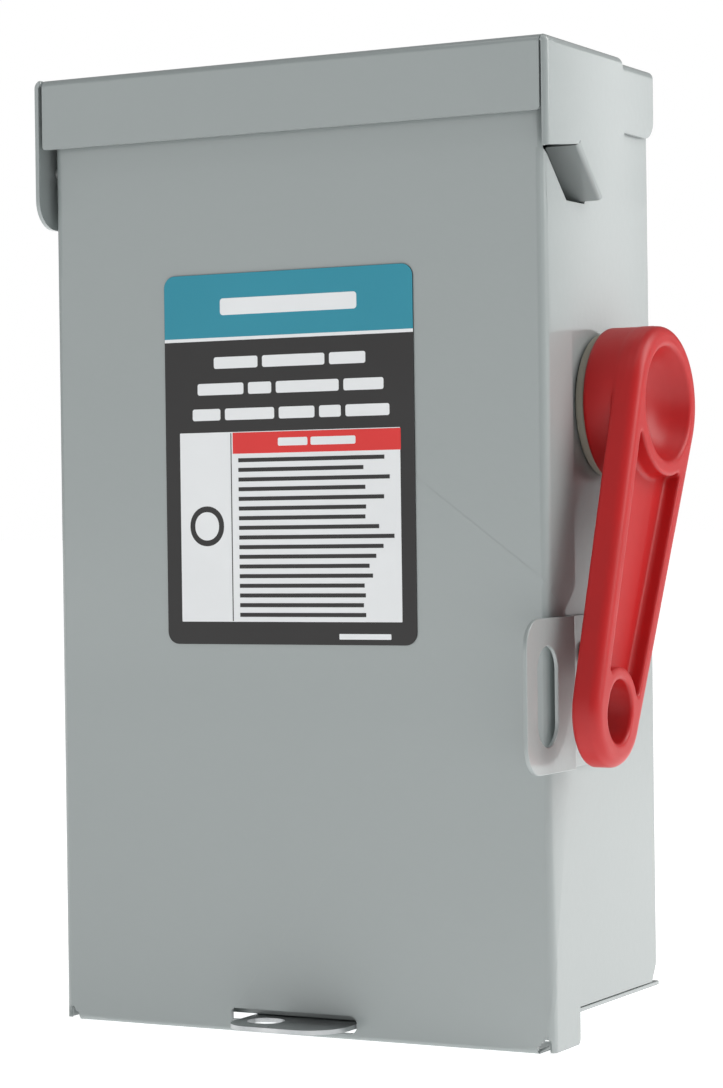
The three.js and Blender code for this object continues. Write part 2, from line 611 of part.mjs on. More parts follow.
const buildCoverFittings = () => {
  const seat = SHEET + GAP;
  const holder = joined(
    box([CATCH.low, CATCH.high], [seat, seat + SHEET], [46.5, 57]),
    box([CATCH.low, CATCH.high], [seat, 19.7], [46.5, 47.7]),
    box([CATCH.low, CATCH.high], [18.5, 19.7], [40, 47.7]),
  );
  addNode('cover_catch', holder, 'zinc');
  addNode('label_plate', push('y', rectangle(-23.3, 78.6, -39.8, 37.8, 3), -0.4, -0.1), 'label');
  addNode('wiring_card', push('y', rectangle(-70, 20, -46, 40, 2), SHEET + 0.1, SHEET + 0.4), 'card');
};

buildBody();
buildBottom();
buildCoverHasp();
buildHood();
buildHub();
buildHandleHasp();
buildHandleRing();
buildHandle();
buildDrive();
buildBase();
buildContacts();
buildPivotFrame();
buildRotor();
buildShield();
buildGroundBar();
buildCover();
buildHinge();
buildCoverFittings();

export default group;
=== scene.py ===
"""AC disconnect box: folded sheet-steel enclosure, lift-up cover, side handle and a two-pole switch.

Lengths in the pieces' own functions are millimetres: x to the right, y back from the cover's face,
z up from LEVEL. `shop` turns them into the frame's metres.
"""

import math
from itertools import product

import bmesh
import bpy
import numpy as np
from bpy.props import FloatProperty, FloatVectorProperty, IntProperty, PointerProperty
from mathutils import Matrix, Vector


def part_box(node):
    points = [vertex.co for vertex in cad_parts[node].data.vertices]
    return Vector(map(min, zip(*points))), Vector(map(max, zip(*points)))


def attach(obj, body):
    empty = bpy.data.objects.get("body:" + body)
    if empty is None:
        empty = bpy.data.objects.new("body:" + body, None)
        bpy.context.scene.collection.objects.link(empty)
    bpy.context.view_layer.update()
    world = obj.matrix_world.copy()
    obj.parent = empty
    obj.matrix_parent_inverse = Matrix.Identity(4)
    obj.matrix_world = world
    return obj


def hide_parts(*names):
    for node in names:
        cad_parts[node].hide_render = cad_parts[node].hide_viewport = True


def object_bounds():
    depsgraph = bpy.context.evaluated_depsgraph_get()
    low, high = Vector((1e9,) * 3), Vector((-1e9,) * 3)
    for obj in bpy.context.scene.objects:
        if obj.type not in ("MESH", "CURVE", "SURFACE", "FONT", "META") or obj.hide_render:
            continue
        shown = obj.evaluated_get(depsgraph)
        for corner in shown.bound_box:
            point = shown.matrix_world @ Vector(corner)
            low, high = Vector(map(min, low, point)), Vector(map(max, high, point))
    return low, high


bl_info = {
    "name": "AC disconnect box",
    "version": (1, 0, 0),
    "blender": (4, 5, 0),
    "location": "View3D > Sidebar > Disconnect",
    "description": "Builds a rainproof disconnect switch box with its cover, handle and inside",
    "category": "Object",
}

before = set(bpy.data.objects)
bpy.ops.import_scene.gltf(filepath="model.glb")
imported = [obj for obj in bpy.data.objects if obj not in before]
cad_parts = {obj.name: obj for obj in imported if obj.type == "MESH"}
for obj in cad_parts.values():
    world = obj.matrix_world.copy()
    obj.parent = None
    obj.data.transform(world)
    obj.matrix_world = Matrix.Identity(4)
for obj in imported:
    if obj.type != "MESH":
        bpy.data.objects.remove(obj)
CAD_BOX = [list(corner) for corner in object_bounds()]

MM = 0.001
COVER_LOW, COVER_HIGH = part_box("cover")
FACE = COVER_LOW.y / MM
LEVEL = COVER_LOW.z / MM + 130


def shop(x, y, z):
    """A point in shop millimetres as a frame position in metres."""
    return Vector((x, y + FACE, z + LEVEL)) * MM


def shop_box(node):
    """A frame node's low and high corners in shop millimetres."""
    low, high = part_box(node)
    shift = Vector((0, FACE, LEVEL))
    return low / MM - shift, high / MM - shift


# ---------------------------------------------------------------- settings


def length_setting(name, description, default):
    return FloatProperty(name=name, description=description, default=default, unit="LENGTH")


def colour_setting(name, description, default):
    return FloatVectorProperty(name=name, description=description, default=default, size=3, subtype="COLOR")


def power_setting(name, description, default):
    return FloatProperty(name=name, description=description, default=default, unit="POWER")


class SheetSettings(bpy.types.PropertyGroup):
    """Sizes of the folded sheet steel"""

    thickness: length_setting("Sheet thickness", "Steel sheet used throughout", 0.0012)
    cover_bend: length_setting("Cover bend", "Outer radius of the cover's side bends", 0.0028)
    hood_bend: length_setting("Hood bend", "Outer radius of the hood's bends", 0.0022)
    body_bend: length_setting("Wall bend", "Outer radius between back and side walls", 0.0024)
    edge: length_setting("Edge rounding", "Rounding that the paint gives sheared edges", 0.0003)


class HandleSettings(bpy.types.PropertyGroup):
    """Sizes of the operating handle"""

    length: length_setting("Reach", "From the pivot to the tip's centre", 0.0884)
    head_radius: length_setting("Head radius", "Round end at the pivot", 0.0209)
    tip_radius: length_setting("Tip radius", "Round end at the padlock eye", 0.0146)
    rim: length_setting("Rim radius", "Rounding of the outer edge", 0.0029)
    tilt: FloatProperty(
        name="Off angle",
        description="Forward lean of the handle when off",
        default=math.radians(23.6),
        subtype="ANGLE",
    )
    grid: length_setting("Surface step", "Spacing of the moulded surface's mesh", 0.00056)


class FinishSettings(bpy.types.PropertyGroup):
    """Colours of the finishes"""

    paint: colour_setting("Enamel", "Baked grey enamel", (0.302, 0.336, 0.334))
    moulding: colour_setting("Handle red", "Moulded handle", (0.46, 0.011, 0.012))
    ring: colour_setting("Spacer beige", "Ring behind the handle", (0.34, 0.32, 0.26))
    header: colour_setting("Label header", "Top field of the label", (0.010, 0.25, 0.345))
    warning: colour_setting("Label accent", "Accent bar of the label", (0.70, 0.020, 0.018))
    peel: length_setting("Orange peel", "Height of the enamel's ripples", 0.00004)


class LabelSettings(bpy.types.PropertyGroup):
    """Layout of the printed label"""

    rows: IntProperty(
        name="Small rows", description="Plain bars that stand for small print", default=17, min=1, max=30
    )
    pitch: length_setting("Row pitch", "Distance between small rows", 0.00265)
    bar: length_setting("Row height", "Height of a small row's bar", 0.0011)
    seed: IntProperty(name="Seed", description="Picks the rows' lengths", default=4)


class StageSettings(bpy.types.PropertyGroup):
    """Camera and studio light"""

    lens: FloatProperty(name="Lens", description="Focal length in millimetres", default=101.66)
    key: power_setting("Key light", "Power of the large light on the right", 14.5)
    top: power_setting("Top light", "Power of the light overhead", 2.8)
    fill: power_setting("Fill light", "Power of the light in front on the left", 1.35)
    rim: power_setting("Rim light", "Power of the light behind on the right", 0.36)
    sky: FloatProperty(name="Surround", description="Brightness of the white surround", default=0.275)


SETTINGS = {
    "disconnect_sheet": SheetSettings,
    "disconnect_handle": HandleSettings,
    "disconnect_finish": FinishSettings,
    "disconnect_label": LabelSettings,
    "disconnect_stage": StageSettings,
}


# ---------------------------------------------------------------- node helpers


def fill_sockets(tree, made, inputs):
    """Sets or links a node's inputs by name or index."""
    for key, value in (inputs or {}).items():
        socket = made.inputs[key]
        if isinstance(value, bpy.types.NodeSocket):
            tree.links.new(value, socket)
        else:
            socket.default_value = value
    return made


def add_node(tree, kind, inputs=None, **settings):
    """Adds a node with its options and inputs."""
    made = tree.nodes.new(kind)
    for key, value in settings.items():
        setattr(made, key, value)
    return fill_sockets(tree, made, inputs)


def add_group(tree, group, inputs):
    """Adds a shader group; its sockets exist only once the group is set."""
    made = tree.nodes.new("ShaderNodeGroup")
    made.node_tree = group
    return fill_sockets(tree, made, inputs)


def math_node(tree, operation, a, b=0.0):
    return add_node(tree, "ShaderNodeMath", {0: a, 1: b}, operation=operation).outputs[0]


def open_group(kind, name, inputs, outputs):
    """A new node group with its sockets; returns the tree, its input node and its output node."""
    tree = bpy.data.node_groups.new(name, kind)
    for label, socket_type, default in inputs:
        socket = tree.interface.new_socket(label, in_out="INPUT", socket_type=socket_type)
        if default is not None:
            socket.default_value = default
    for label, socket_type in outputs:
        tree.interface.new_socket(label, in_out="OUTPUT", socket_type=socket_type)
    return tree, tree.nodes.new("NodeGroupInput").outputs, tree.nodes.new("NodeGroupOutput")


def set_input(modifier, name, value):
    """Sets a Geometry Nodes modifier's input through its socket identifier."""
    for item in modifier.node_group.interface.items_tree:
        if item.item_type == "SOCKET" and item.in_out == "INPUT" and item.name == name:
            modifier[item.identifier] = value
            return
    raise ValueError(f"no input named {name}")


# ---------------------------------------------------------------- shared shader groups


def peel_group():
    """Ripples and grain of a sprayed or moulded skin, as a height."""
    tree, given, result = open_group(
        "ShaderNodeTree",
        "Skin ripple",
        [
            ("Vector", "NodeSocketVector", None),
            ("Ripple Scale", "NodeSocketFloat", 700.0),
            ("Grain Scale", "NodeSocketFloat", 4200.0),
            ("Grain Share", "NodeSocketFloat", 0.2),
        ],
        [("Height", "NodeSocketFloat")],
    )
    ripple = add_node(
        tree,
        "ShaderNodeTexNoise",
        {"Vector": given["Vector"], "Scale": given["Ripple Scale"], "Detail": 1.5, "Roughness": 0.45},
    )
    grain = add_node(
        tree,
        "ShaderNodeTexNoise",
        {"Vector": given["Vector"], "Scale": given["Grain Scale"], "Detail": 1.0, "Roughness": 0.5},
    )
    share = math_node(tree, "MULTIPLY", grain.outputs[0], given["Grain Share"])
    tree.links.new(math_node(tree, "ADD", ripple.outputs[0], share), result.inputs["Height"])
    return tree


def mottle_group():
    """Slow drift between two colours and two roughnesses, as on any handled or aged surface."""
    tree, given, result = open_group(
        "ShaderNodeTree",
        "Surface drift",
        [
            ("Vector", "NodeSocketVector", None),
            ("Scale", "NodeSocketFloat", 30.0),
            ("Colour", "NodeSocketColor", (0.5, 0.5, 0.5, 1)),
            ("Second Colour", "NodeSocketColor", (0.4, 0.4, 0.4, 1)),
            ("Smooth", "NodeSocketFloat", 0.3),
            ("Rough", "NodeSocketFloat", 0.4),
        ],
        [("Colour", "NodeSocketColor"), ("Roughness", "NodeSocketFloat")],
    )
    cloud = add_node(
        tree,
        "ShaderNodeTexNoise",
        {"Vector": given["Vector"], "Scale": given["Scale"], "Detail": 4.0, "Roughness": 0.6},
    )
    spread = add_node(
        tree,
        "ShaderNodeMapRange",
        {"Value": cloud.outputs[0], "From Min": 0.25, "From Max": 0.75},
        interpolation_type="LINEAR",
    )
    tint = add_node(
        tree,
        "ShaderNodeMix",
        {"Factor": spread.outputs[0], 6: given["Colour"], 7: given["Second Colour"]},
        data_type="RGBA",
    )
    level = add_node(
        tree,
        "ShaderNodeMapRange",
        {"Value": spread.outputs[0], "To Min": given["Smooth"], "To Max": given["Rough"]},
    )
    tree.links.new(tint.outputs[2], result.inputs["Colour"])
    tree.links.new(level.outputs[0], result.inputs["Roughness"])
    return tree


def shared(name, maker):
    return bpy.data.node_groups.get(name) or maker()


def skin(
    name, base, second, smooth, rough, drift, ripple, grain, height, grain_share=0.2, stretch=None, **fixed
):
    """A finish whose colour and roughness drift, with a bump of ripples and grain.

    `fixed` sets other sockets of the shader, with underscores for the spaces in their names.
    """
    found = bpy.data.materials.get(name)
    if found:
        return found
    material = bpy.data.materials.new(name)
    material.use_nodes = True
    tree = material.node_tree
    shader = tree.nodes["Principled BSDF"]
    vector = add_node(tree, "ShaderNodeTexCoord").outputs["Object"]
    if stretch:
        vector = add_node(tree, "ShaderNodeMapping", {"Vector": vector, "Scale": stretch}).outputs[0]
    drifting = {
        "Vector": vector,
        "Scale": drift,
        "Colour": (*base, 1),
        "Second Colour": (*second, 1),
        "Smooth": smooth,
        "Rough": rough,
    }
    rippled = {"Vector": vector, "Ripple Scale": ripple, "Grain Scale": grain, "Grain Share": grain_share}
    surface = add_group(tree, shared("Surface drift", mottle_group), drifting)
    texture = add_group(tree, shared("Skin ripple", peel_group), rippled)
    bump = add_node(tree, "ShaderNodeBump", {"Height": texture.outputs["Height"], "Distance": height})
    bump.inputs["Strength"].default_value = 1.0
    tree.links.new(surface.outputs["Colour"], shader.inputs["Base Color"])
    tree.links.new(surface.outputs["Roughness"], shader.inputs["Roughness"])
    tree.links.new(bump.outputs[0], shader.inputs["Normal"])
    for key, value in fixed.items():
        shader.inputs[key.replace("_", " ")].default_value = value
    return material


def shade(base, factor):
    return tuple(channel * factor for channel in base)


def enamel():
    finish = bpy.context.scene.disconnect_finish
    return skin(
        "grey_enamel", finish.paint, shade(finish.paint, 0.985), 0.28, 0.30, 16, 480, 5200, finish.peel,
        grain_share=0.12, Coat_Weight=0.5, Coat_Roughness=0.1,
    )


def red_moulding():
    finish = bpy.context.scene.disconnect_finish
    return skin(
        "red_moulding", finish.moulding, shade(finish.moulding, 0.88), 0.36, 0.45, 45, 260, 3600, 0.00002,
        grain_share=0.35, Specular_IOR_Level=0.4,
    )


def beige_moulding():
    ring = bpy.context.scene.disconnect_finish.ring
    return skin("beige_moulding", ring, shade(ring, 0.85), 0.5, 0.62, 90, 700, 4000, 0.00002)


def zinc_plate():
    return skin(
        "zinc_plate", (0.56, 0.57, 0.57), (0.44, 0.46, 0.47),
        0.26, 0.44, 140, 900, 5000, 0.000012, Metallic=0.95,
    )


def copper_strip():
    return skin(
        "copper_strip", (0.72, 0.33, 0.19), (0.55, 0.25, 0.15),
        0.24, 0.42, 110, 600, 5000, 0.000012, Metallic=1.0,
    )


def aluminium_bar():
    return skin(
        "aluminium_bar", (0.60, 0.61, 0.62), (0.50, 0.51, 0.52), 0.28, 0.42, 60, 500, 5000, 0.00002,
        stretch=(0.04, 1, 1), Metallic=0.95,
    )


def black_moulding():
    return skin(
        "black_moulding", (0.022, 0.022, 0.024), (0.033, 0.032, 0.032), 0.42, 0.6, 70, 500, 4200, 0.00003,
        grain_share=0.5,
    )


def fibre_sheet():
    return skin(
        "fibre_sheet", (0.11, 0.12, 0.125), (0.085, 0.09, 0.095), 0.62, 0.78, 180, 1400, 6000, 0.00004,
        grain_share=0.6, stretch=(1, 1, 0.35),
    )


def print_finish(name, colour):
    return skin(name, colour, shade(colour, 0.95), 0.34, 0.42, 35, 900, 6000, 0.000008)


def card_stock():
    return skin(
        "card_stock", (0.78, 0.76, 0.70), (0.72, 0.70, 0.63),
        0.7, 0.85, 60, 1800, 7000, 0.00003, grain_share=0.6,
    )


# ---------------------------------------------------------------- mesh helpers


def arc_points(centre, radius, start, end, steps):
    """Points on an arc, ends included; angles in radians."""
    turns = [start + (end - start) * i / steps for i in range(steps + 1)]
    return [(centre[0] + radius * math.cos(t), centre[1] + radius * math.sin(t)) for t in turns]


def rounded(points, step=math.radians(11)):
    """A closed outline from corners (a, b) or (a, b, radius)."""
    result = []
    count = len(points)
    for i, point in enumerate(points):
        here = Vector(point[:2])
        radius = point[2] if len(point) > 2 else 0
        if not radius:
            result.append(tuple(here))
            continue
        before = (Vector(points[i - 1][:2]) - here).normalized()
        after = (Vector(points[(i + 1) % count][:2]) - here).normalized()
        opening = before.angle(after)
        reach = radius / math.tan(opening / 2)
        start, end = here + before * reach, here + after * reach
        centre = here + (before + after).normalized() * (radius / math.sin(opening / 2))
        from_centre, to_centre = start - centre, end - centre
        sweep = math.atan2(
            from_centre.x * to_centre.y - from_centre.y * to_centre.x, from_centre.dot(to_centre)
        )
        first = math.atan2(from_centre.y, from_centre.x)
        steps = max(2, math.ceil(abs(sweep) / step))
        result += arc_points(centre, radius, first, first + sweep, steps)
    return result


def rectangle(low, high, radius):
    """The four corners of a rectangle, for `rounded`."""
    (left, bottom), (right, top) = low[:2], high[:2]
    return [(left, bottom, radius), (right, bottom, radius), (right, top, radius), (left, top, radius)]


def mirrored(right):
    """The left half of an outline from its right half, in running order."""
    return [(-a, *rest) for a, *rest in reversed(right)]


def circle(a, b, radius, steps=40):
    return arc_points((a, b), radius, 0, 2 * math.pi * (1 - 1 / steps), steps - 1)


def long_hole(a0, b0, a1, b1, radius, steps=14):
    """A slot with round ends round two centres."""
    along = math.atan2(b1 - b0, a1 - a0)
    quarter = math.pi / 2
    return arc_points((a1, b1), radius, along - quarter, along + quarter, steps) + arc_points(
        (a0, b0), radius, along + quarter, along + 3 * quarter, steps
    )


def fold_point(here, flat, fold):
    """Carries a point of the blank round one fold. `flat` is where the point lies on the blank."""
    start = Vector((*fold["start"], 0))
    out = Vector((*fold["out"], 0)).normalized()
    normal = Vector((0, 0, 1))
    run = (Vector((*flat, 0)) - start).dot(out)
    if run <= 0 or not fold["where"](*flat):
        return here
    sign = 1 if fold["angle"] > 0 else -1
    radius = fold["radius"]
    length = radius * abs(fold["angle"])
    turned = sign * min(run, length) / radius
    ahead = out * math.cos(turned) - normal * math.sin(turned)
    outward = out * math.sin(turned) + normal * math.cos(turned)
    along_out = (here - start).dot(out)
    beside = here - start - out * along_out - normal * here.z
    bent = (out * math.sin(turned) - normal * (1 - math.cos(turned))) * radius * sign
    past = along_out - length if run > length else 0
    return start + beside + bent + ahead * past + outward * here.z


def fold_line(start, out, radius, angle=math.pi / 2, where=lambda u, v: True):
    return {"start": start, "out": out, "radius": radius, "angle": angle, "where": where}


def merge_flats(mesh, degrees):
    """Joins faces that lie in one plane."""
    bmesh.ops.dissolve_limit(
        mesh,
        angle_limit=math.radians(degrees),
        verts=mesh.verts[:],
        edges=mesh.edges[:],
        use_dissolve_boundaries=False,
    )


def set_smooth(data, smooth=True):
    data.polygons.foreach_set("use_smooth", [smooth] * len(data.polygons))


def blank_mesh(outer, holes, folds, steps=7):
    """A flat blank with holes, folded along its bend lines, outermost folds first."""
    mesh = bmesh.new()
    for loop in [outer, *holes]:
        corners = [mesh.verts.new((a, b, 0)) for a, b in loop]
        for first, second in zip(corners, corners[1:] + corners[:1]):
            mesh.edges.new((first, second))
    bmesh.ops.triangle_fill(mesh, use_beauty=True, edges=mesh.edges[:], normal=(0, 0, 1))
    for fold in folds:
        length = fold["radius"] * abs(fold["angle"])
        out = Vector((*fold["out"], 0)).normalized()
        for i in range(steps + 1):
            point = Vector((*fold["start"], 0)) + out * (length * i / steps)
            whole = mesh.verts[:] + mesh.edges[:] + mesh.faces[:]
            bmesh.ops.bisect_plane(mesh, geom=whole, plane_co=point, plane_no=out, dist=1e-4)
    bmesh.ops.remove_doubles(mesh, verts=mesh.verts[:], dist=0.004)
    flats = {vert: (vert.co.x, vert.co.y) for vert in mesh.verts}
    for fold in folds:
        for vert in mesh.verts:
            vert.co = fold_point(vert.co.copy(), flats[vert], fold)
    merge_flats(mesh, 0.4)
    return mesh


def to_object(name, mesh, material, place=None):
    """Turns a bmesh in millimetres into an object in the frame's metres."""
    data = bpy.data.meshes.new(name)
    if place:
        bmesh.ops.transform(mesh, matrix=place, verts=mesh.verts[:])
    for vert in mesh.verts:
        vert.co = shop(*vert.co)
    mesh.to_mesh(data)
    mesh.free()
    set_smooth(data)
    made = bpy.data.objects.new(name, data)
    bpy.context.scene.collection.objects.link(made)
    data.materials.append(material)
    return made


def thicken(piece, thickness):
    wall = piece.modifiers.new("Wall", "SOLIDIFY")
    wall.thickness = thickness
    wall.offset = -1
    wall.use_even_offset = True
    return piece


def soften(piece, width, limit=32):
    """Rounds hard edges and keeps the flats flat in shading."""
    edge = piece.modifiers.new("Edges", "BEVEL")
    edge.width = width
    edge.segments = 2
    edge.limit_method = "ANGLE"
    edge.angle_limit = math.radians(limit)
    edge.use_clamp_overlap = True
    weight = piece.modifiers.new("Flats", "WEIGHTED_NORMAL")
    weight.mode = "FACE_AREA_WITH_ANGLE"
    weight.weight = 80
    weight.thresh = 0.01
    return piece


def axes(u, v, origin=(0, 0, 0)):
    """Placement of a blank: its own axes and origin in shop directions; its outer side is u x v."""
    first, second = Vector(u), Vector(v)
    turn = Matrix((first, second, first.cross(second))).transposed().to_4x4()
    return Matrix.Translation(Vector(origin)) @ turn


def sheet_piece(name, outer, holes, folds, place, material=None, edge=None):
    """A folded, thickened and edge-rounded sheet-steel piece."""
    sheet = bpy.context.scene.disconnect_sheet
    mesh = blank_mesh(rounded(outer), holes, folds)
    piece = to_object(name, mesh, material or enamel(), place)
    thicken(piece, sheet.thickness)
    return soften(piece, edge or sheet.edge)


def lathe(name, profile, centre, material, segments, edge):
    """A closed ring or pin turned about x through `centre`; the profile is (radius, position along x)."""
    mesh = bmesh.new()
    first, second, along = Vector((0, 1, 0)), Vector((0, 0, 1)), Vector((1, 0, 0))
    rings = []
    for radius, position in profile:
        if radius < 1e-6:
            rings.append([mesh.verts.new(Vector(centre) + along * position)])
            continue
        ring = []
        for i in range(segments):
            turn = 2 * math.pi * i / segments
            side = first * math.cos(turn) + second * math.sin(turn)
            ring.append(mesh.verts.new(Vector(centre) + along * position + side * radius))
        rings.append(ring)
    pairs = list(zip(rings, rings[1:]))
    if len(rings[0]) > 1 and len(rings[-1]) > 1:
        pairs.append((rings[-1], rings[0]))
    for low, high in pairs:
        for i in range(segments):
            j = (i + 1) % segments
            quad = [low[i % len(low)], low[j % len(low)], high[j % len(high)], high[i % len(high)]]
            mesh.faces.new(list(dict.fromkeys(quad)))
    bmesh.ops.recalc_face_normals(mesh, faces=mesh.faces[:])
    return soften(to_object(name, mesh, material), edge)


def refined(node, material, edge):
    """A frame node's shape with merged corners, clean flats and rounded edges."""
    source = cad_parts[node]
    mesh = bmesh.new()
    mesh.from_mesh(source.data)
    bmesh.ops.remove_doubles(mesh, verts=mesh.verts[:], dist=2e-6)
    merge_flats(mesh, 0.5)
    for vert in mesh.verts:
        vert.co = vert.co / MM - Vector((0, FACE, LEVEL))
    piece = to_object(f"{node}_finished", mesh, material)
    return soften(piece, edge)


def hand_over(piece, body, slot, *nodes):
    """Says what a finished piece moves with, what it is finished in and which frame nodes it stands for."""
    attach(piece, body)
    if nodes:
        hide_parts(*nodes)
    return piece


def bake_nodes(piece):
    """Turns the piece's Geometry Nodes result into its plain mesh."""
    bpy.context.view_layer.update()
    evaluated = piece.evaluated_get(bpy.context.evaluated_depsgraph_get())
    data = bpy.data.meshes.new_from_object(evaluated)
    piece.modifiers.clear()
    piece.data = data
    return piece


# ---------------------------------------------------------------- geometry node trees


def close_tree(tree, given, result, instances):
    """Ends a tree: instances on points, made real and given the material."""
    tree.is_modifier = True
    placed = add_node(tree, "GeometryNodeInstanceOnPoints", instances)
    real = add_node(tree, "GeometryNodeRealizeInstances", {0: placed.outputs[0]})
    painted = add_node(tree, "GeometryNodeSetMaterial", {0: real.outputs[0], "Material": given["Material"]})
    tree.links.new(painted.outputs[0], result.inputs["Geometry"])
    return tree


def raised(tree, flat, lift):
    """Moves the points of `flat` along z by `lift`."""
    offset = add_node(tree, "ShaderNodeCombineXYZ", {"Z": lift})
    return add_node(tree, "GeometryNodeSetPosition", {"Geometry": flat, "Offset": offset.outputs[0]})


def radius_and_height(tree):
    """The squared distance from the z axis, and the height, of each point."""
    place = add_node(tree, "GeometryNodeInputPosition")
    parts = add_node(tree, "ShaderNodeSeparateXYZ", {0: place.outputs[0]}).outputs
    squares = [math_node(tree, "MULTIPLY", parts[i], parts[i]) for i in range(2)]
    return math_node(tree, "ADD", *squares), parts[2]


def screw_tree():
    """Pan-head screws with a crossed recess on every point of the input."""
    tree, given, result = open_group(
        "GeometryNodeTree",
        "Pan head screws",
        [
            ("Geometry", "NodeSocketGeometry", None),
            ("Head Radius", "NodeSocketFloat", 0.004),
            ("Head Height", "NodeSocketFloat", 0.0022),
            ("Shank Radius", "NodeSocketFloat", 0.002),
            ("Shank Length", "NodeSocketFloat", 0.006),
            ("Recess Width", "NodeSocketFloat", 0.001),
            ("Axis", "NodeSocketVector", (0, -1, 0)),
            ("Seed", "NodeSocketInt", 1),
            ("Material", "NodeSocketMaterial", None),
        ],
        [("Geometry", "NodeSocketGeometry")],
    )
    head = add_node(
        tree,
        "GeometryNodeMeshCylinder",
        {
            "Vertices": 36,
            "Side Segments": 3,
            "Fill Segments": 5,
            "Radius": given["Head Radius"],
            "Depth": given["Head Height"],
        },
        fill_type="TRIANGLE_FAN",
    )
    squared, up = radius_and_height(tree)
    ratio = math_node(tree, "DIVIDE", math_node(tree, "SQRT", squared), given["Head Radius"])
    fall = math_node(tree, "MULTIPLY", math_node(tree, "POWER", ratio, 3.0), -0.55)
    half = math_node(tree, "MULTIPLY", given["Head Height"], 0.5)
    above = math_node(tree, "GREATER_THAN", up, math_node(tree, "MULTIPLY", half, 0.2))
    drop = math_node(tree, "MULTIPLY", math_node(tree, "MULTIPLY", fall, given["Head Height"]), above)
    domed = raised(tree, head.outputs["Mesh"], math_node(tree, "ADD", drop, half))
    length = math_node(tree, "MULTIPLY", given["Head Radius"], 1.15)
    depth = math_node(tree, "MULTIPLY", given["Head Height"], 1.1)
    width = given["Recess Width"]
    slotted = add_node(tree, "GeometryNodeMeshBoolean", {0: domed.outputs[0]}, operation="DIFFERENCE")
    for long_side, short_side in ((length, width), (width, length)):
        size = add_node(tree, "ShaderNodeCombineXYZ", {"X": long_side, "Y": short_side, "Z": depth})
        cube = add_node(tree, "GeometryNodeMeshCube", {"Size": size.outputs[0]})
        cutter = raised(tree, cube.outputs["Mesh"], given["Head Height"])
        tree.links.new(cutter.outputs[0], slotted.inputs[1])
    shank = add_node(
        tree,
        "GeometryNodeMeshCylinder",
        {"Vertices": 24, "Radius": given["Shank Radius"], "Depth": given["Shank Length"]},
    )
    sunk = raised(tree, shank.outputs["Mesh"], math_node(tree, "MULTIPLY", given["Shank Length"], -0.5))
    whole = add_node(tree, "GeometryNodeJoinGeometry")
    tree.links.new(sunk.outputs[0], whole.inputs[0])
    tree.links.new(slotted.outputs[0], whole.inputs[0])
    aim = add_node(tree, "FunctionNodeAlignRotationToVector", {"Vector": given["Axis"]}, axis="Z")
    roll = add_node(tree, "FunctionNodeRandomValue", {"Seed": given["Seed"]}, data_type="FLOAT")
    roll.inputs[3].default_value = math.pi
    spin = add_node(tree, "FunctionNodeAxisAngleToRotation", {"Axis": (0, 0, 1), "Angle": roll.outputs[1]})
    turned = add_node(
        tree,
        "FunctionNodeRotateRotation",
        {"Rotation": aim.outputs[0], "Rotate By": spin.outputs[0]},
        rotation_space="LOCAL",
    )
    instances = {"Points": given["Geometry"], "Instance": whole.outputs[0], "Rotation": turned.outputs[0]}
    return close_tree(tree, given, result, instances)


def rivet_tree():
    """Low domed rivet heads on every point of the input."""
    tree, given, result = open_group(
        "GeometryNodeTree",
        "Domed rivets",
        [
            ("Geometry", "NodeSocketGeometry", None),
            ("Radius", "NodeSocketFloat", 0.0034),
            ("Height", "NodeSocketFloat", 0.0017),
            ("Axis", "NodeSocketVector", (1, 0, 0)),
            ("Material", "NodeSocketMaterial", None),
        ],
        [("Geometry", "NodeSocketGeometry")],
    )
    disc = add_node(
        tree,
        "GeometryNodeMeshCylinder",
        {"Vertices": 40, "Side Segments": 2, "Fill Segments": 8, "Radius": given["Radius"], "Depth": 0.0004},
        fill_type="TRIANGLE_FAN",
    )
    squared, up = radius_and_height(tree)
    ratio = math_node(tree, "DIVIDE", squared, math_node(tree, "MULTIPLY", given["Radius"], given["Radius"]))
    left_over = math_node(tree, "MAXIMUM", math_node(tree, "SUBTRACT", 1.02, ratio), 0.0)
    round_off = math_node(tree, "SQRT", left_over)
    above = math_node(tree, "GREATER_THAN", up, 0.0001)
    rise = math_node(tree, "MULTIPLY", math_node(tree, "MULTIPLY", round_off, given["Height"]), above)
    domed = raised(tree, disc.outputs["Mesh"], math_node(tree, "ADD", rise, 0.0002))
    aim = add_node(tree, "FunctionNodeAlignRotationToVector", {"Vector": given["Axis"]}, axis="Z")
    instances = {"Points": given["Geometry"], "Instance": domed.outputs[0], "Rotation": aim.outputs[0]}
    return close_tree(tree, given, result, instances)


